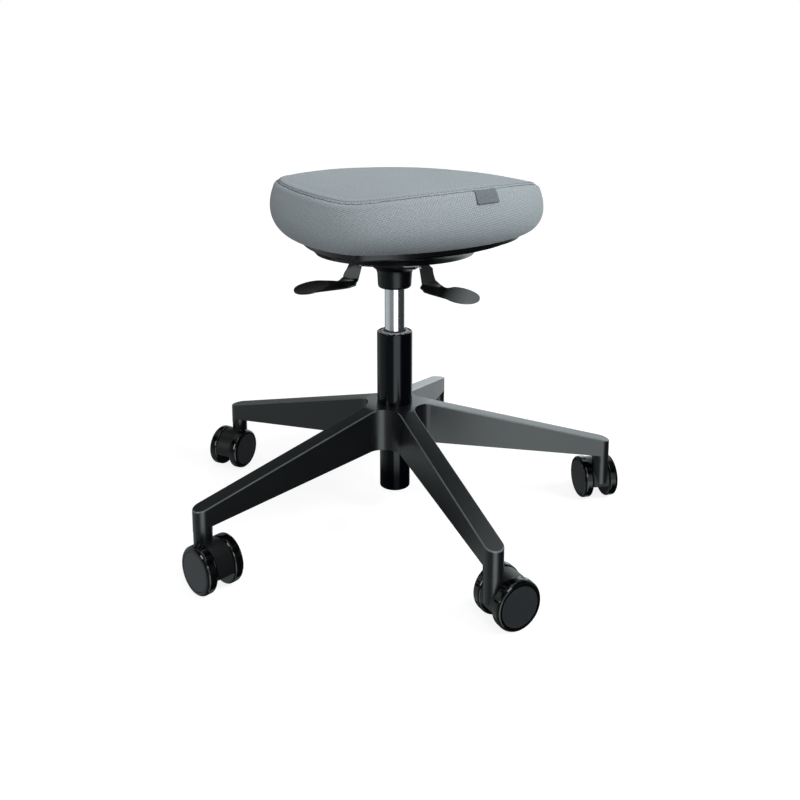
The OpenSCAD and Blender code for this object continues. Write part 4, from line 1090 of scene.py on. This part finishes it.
def make_walls(name, stops):
    """Brightness of the studio's walls by their bearing."""
    group, start, end = effect(name, {"Vector": None}, ("Level",))
    x, y, _ = parts_of(group, start.outputs["Vector"])
    turn = sums(group, "ARCTAN2", x, times(group, y, -1))
    share = plus(group, sums(group, "DIVIDE", turn, 2 * math.pi), 0.5)
    ramp = node_of(group, "ShaderNodeValToRGB", {"Fac": share})
    while len(ramp.color_ramp.elements) < len(stops):
        ramp.color_ramp.elements.new(0.5)
    for element, (bearing, level) in zip(ramp.color_ramp.elements, stops):
        element.position = bearing / 360 + 0.5
        element.color = (level / WALL_TOP, level / WALL_TOP, level / WALL_TOP, 1)
    group.links.new(times(group, ramp.outputs["Color"], WALL_TOP), end.inputs["Level"])
    return group


def mixed(tree, factor, first, second):
    return node_of(tree, "ShaderNodeMixShader", {"Fac": factor, 1: first, 2: second}).outputs[0]


def make_floor():
    """Pale floor that keeps the shadow; polished pieces look through it at the studio's walls, darkened within
    about 0.15 m of the middle as painted shade under the stool.
    """
    deselect()
    bpy.ops.mesh.primitive_plane_add(size=30, location=(0, 0, -0.0005))
    floor = settle(fresh("floor"))
    material = bpy.data.materials.new("pale_floor")
    material.use_nodes = True
    tree = material.node_tree
    tree.nodes.clear()
    path = node_of(tree, "ShaderNodeLightPath").outputs
    place = node_of(tree, "ShaderNodeTexCoord").outputs["Object"]
    away = node_of(tree, "ShaderNodeVectorMath", {0: place}, operation="LENGTH").outputs["Value"]
    seen = plus(tree, path["Is Camera Ray"], path["Is Transmission Ray"], clamp=True)
    paleness = times(tree, seen, spread(tree, away, 0.84, 0.95, 0.6, 2.4))
    diffuse = node_of(tree, "ShaderNodeBsdfDiffuse", {"Color": (0.3, 0.3, 0.3, 1)})
    glow = node_of(tree, "ShaderNodeEmission", {"Strength": paleness})
    pale = node_of(tree, "ShaderNodeAddShader", {0: diffuse.outputs[0], 1: glow.outputs[0]})
    # painted shade: close round the middle, what polished pieces see through the floor is darkened, for the
    # shade under the stool
    clear = node_of(tree, "ShaderNodeBsdfTransparent", {"Color": spread(tree, away, 0.1, 1, 0.14, 0.19)})
    surface = mixed(tree, path["Is Glossy Ray"], pale.outputs[0], clear.outputs[0])
    node_of(tree, "ShaderNodeOutputMaterial", {"Surface": surface})
    floor.data.materials.append(material)


def make_world():
    """White to the camera, even light on the pieces, and the studio's walls in what shines."""
    world = bpy.data.worlds.new("studio")
    bpy.context.scene.world = world
    world.use_nodes = True
    tree = world.node_tree
    tree.nodes.clear()
    path = node_of(tree, "ShaderNodeLightPath").outputs
    way = node_of(tree, "ShaderNodeTexCoord").outputs["Generated"]
    z = parts_of(tree, way)[2]
    low, high = (node_of(tree, "ShaderNodeGroup", {"Vector": way}, node_tree=make_walls(name, stops))
                 for name, stops in (("low_walls", LOW_STOPS), ("high_walls", HIGH_STOPS)))
    upper = spread(tree, z, 0, 1, -0.16, -0.09)
    steep = spread(tree, z, 0.4, 1, -0.85, -0.62)
    fading = plus(tree, spread(tree, z, 1, 0.12, 0.42, 0.52), spread(tree, z, 0, 0.7, 0.67, 0.79))
    above = times(tree, times(tree, high.outputs["Level"], fading), upper)
    below = times(tree, low.outputs["Level"], sums(tree, "SUBTRACT", 1, upper))
    level = times(tree, plus(tree, above, below), steep)
    plain = plus(tree, path["Is Camera Ray"], path["Is Transmission Ray"], clamp=True)
    strength = plus(tree, plain, times(tree, path["Is Glossy Ray"], level))
    tint = blend_colours(tree, path["Is Glossy Ray"], WHITE, (0.89, 0.98, 1.0))
    shown = node_of(tree, "ShaderNodeBackground", {"Color": tint, "Strength": strength})
    ambient = node_of(tree, "ShaderNodeBackground", {"Color": (0.98, 0.99, 1.0, 1), "Strength": AMBIENT})
    seen = plus(tree, plain, path["Is Glossy Ray"], clamp=True)
    surface = mixed(tree, seen, ambient.outputs[0], shown.outputs[0])
    node_of(tree, "ShaderNodeOutputWorld", {"Surface": surface})


def softbox(name, place, aim, size, power, tall=None, mirrored=True):
    """An area lamp turned to its aim, size wide and tall high, seen in what shines unless mirrored is off."""
    data = bpy.data.lights.new(name, "AREA")
    data.shape = "RECTANGLE" if tall else "SQUARE"
    data.size = size
    data.size_y = tall or size
    data.energy = power
    lamp = bpy.data.objects.new(name, data)
    bpy.context.scene.collection.objects.link(lamp)
    lamp.location = place
    lamp.rotation_euler = (Vector(aim) - Vector(place)).to_track_quat("-Z", "Y").to_euler()
    lamp.visible_glossy = mirrored


make_floor()
make_world()
softbox("right_box", (1.7, -0.2, 1.45), (0, 0, 0.4), 0.8, 36, tall=1.2, mirrored=False)
softbox("front_right_box", (1.0, -1.5, 1.3), (0, 0, 0.35), 0.5, 10, tall=1.1)
softbox("front_left_box", (-0.9, -1.5, 0.8), (0, 0, 0.4), 0.4, 9, tall=0.9)
softbox("top_box", (0.4, -0.3, 2.0), (0, 0, 0.3), 1.2, 4)
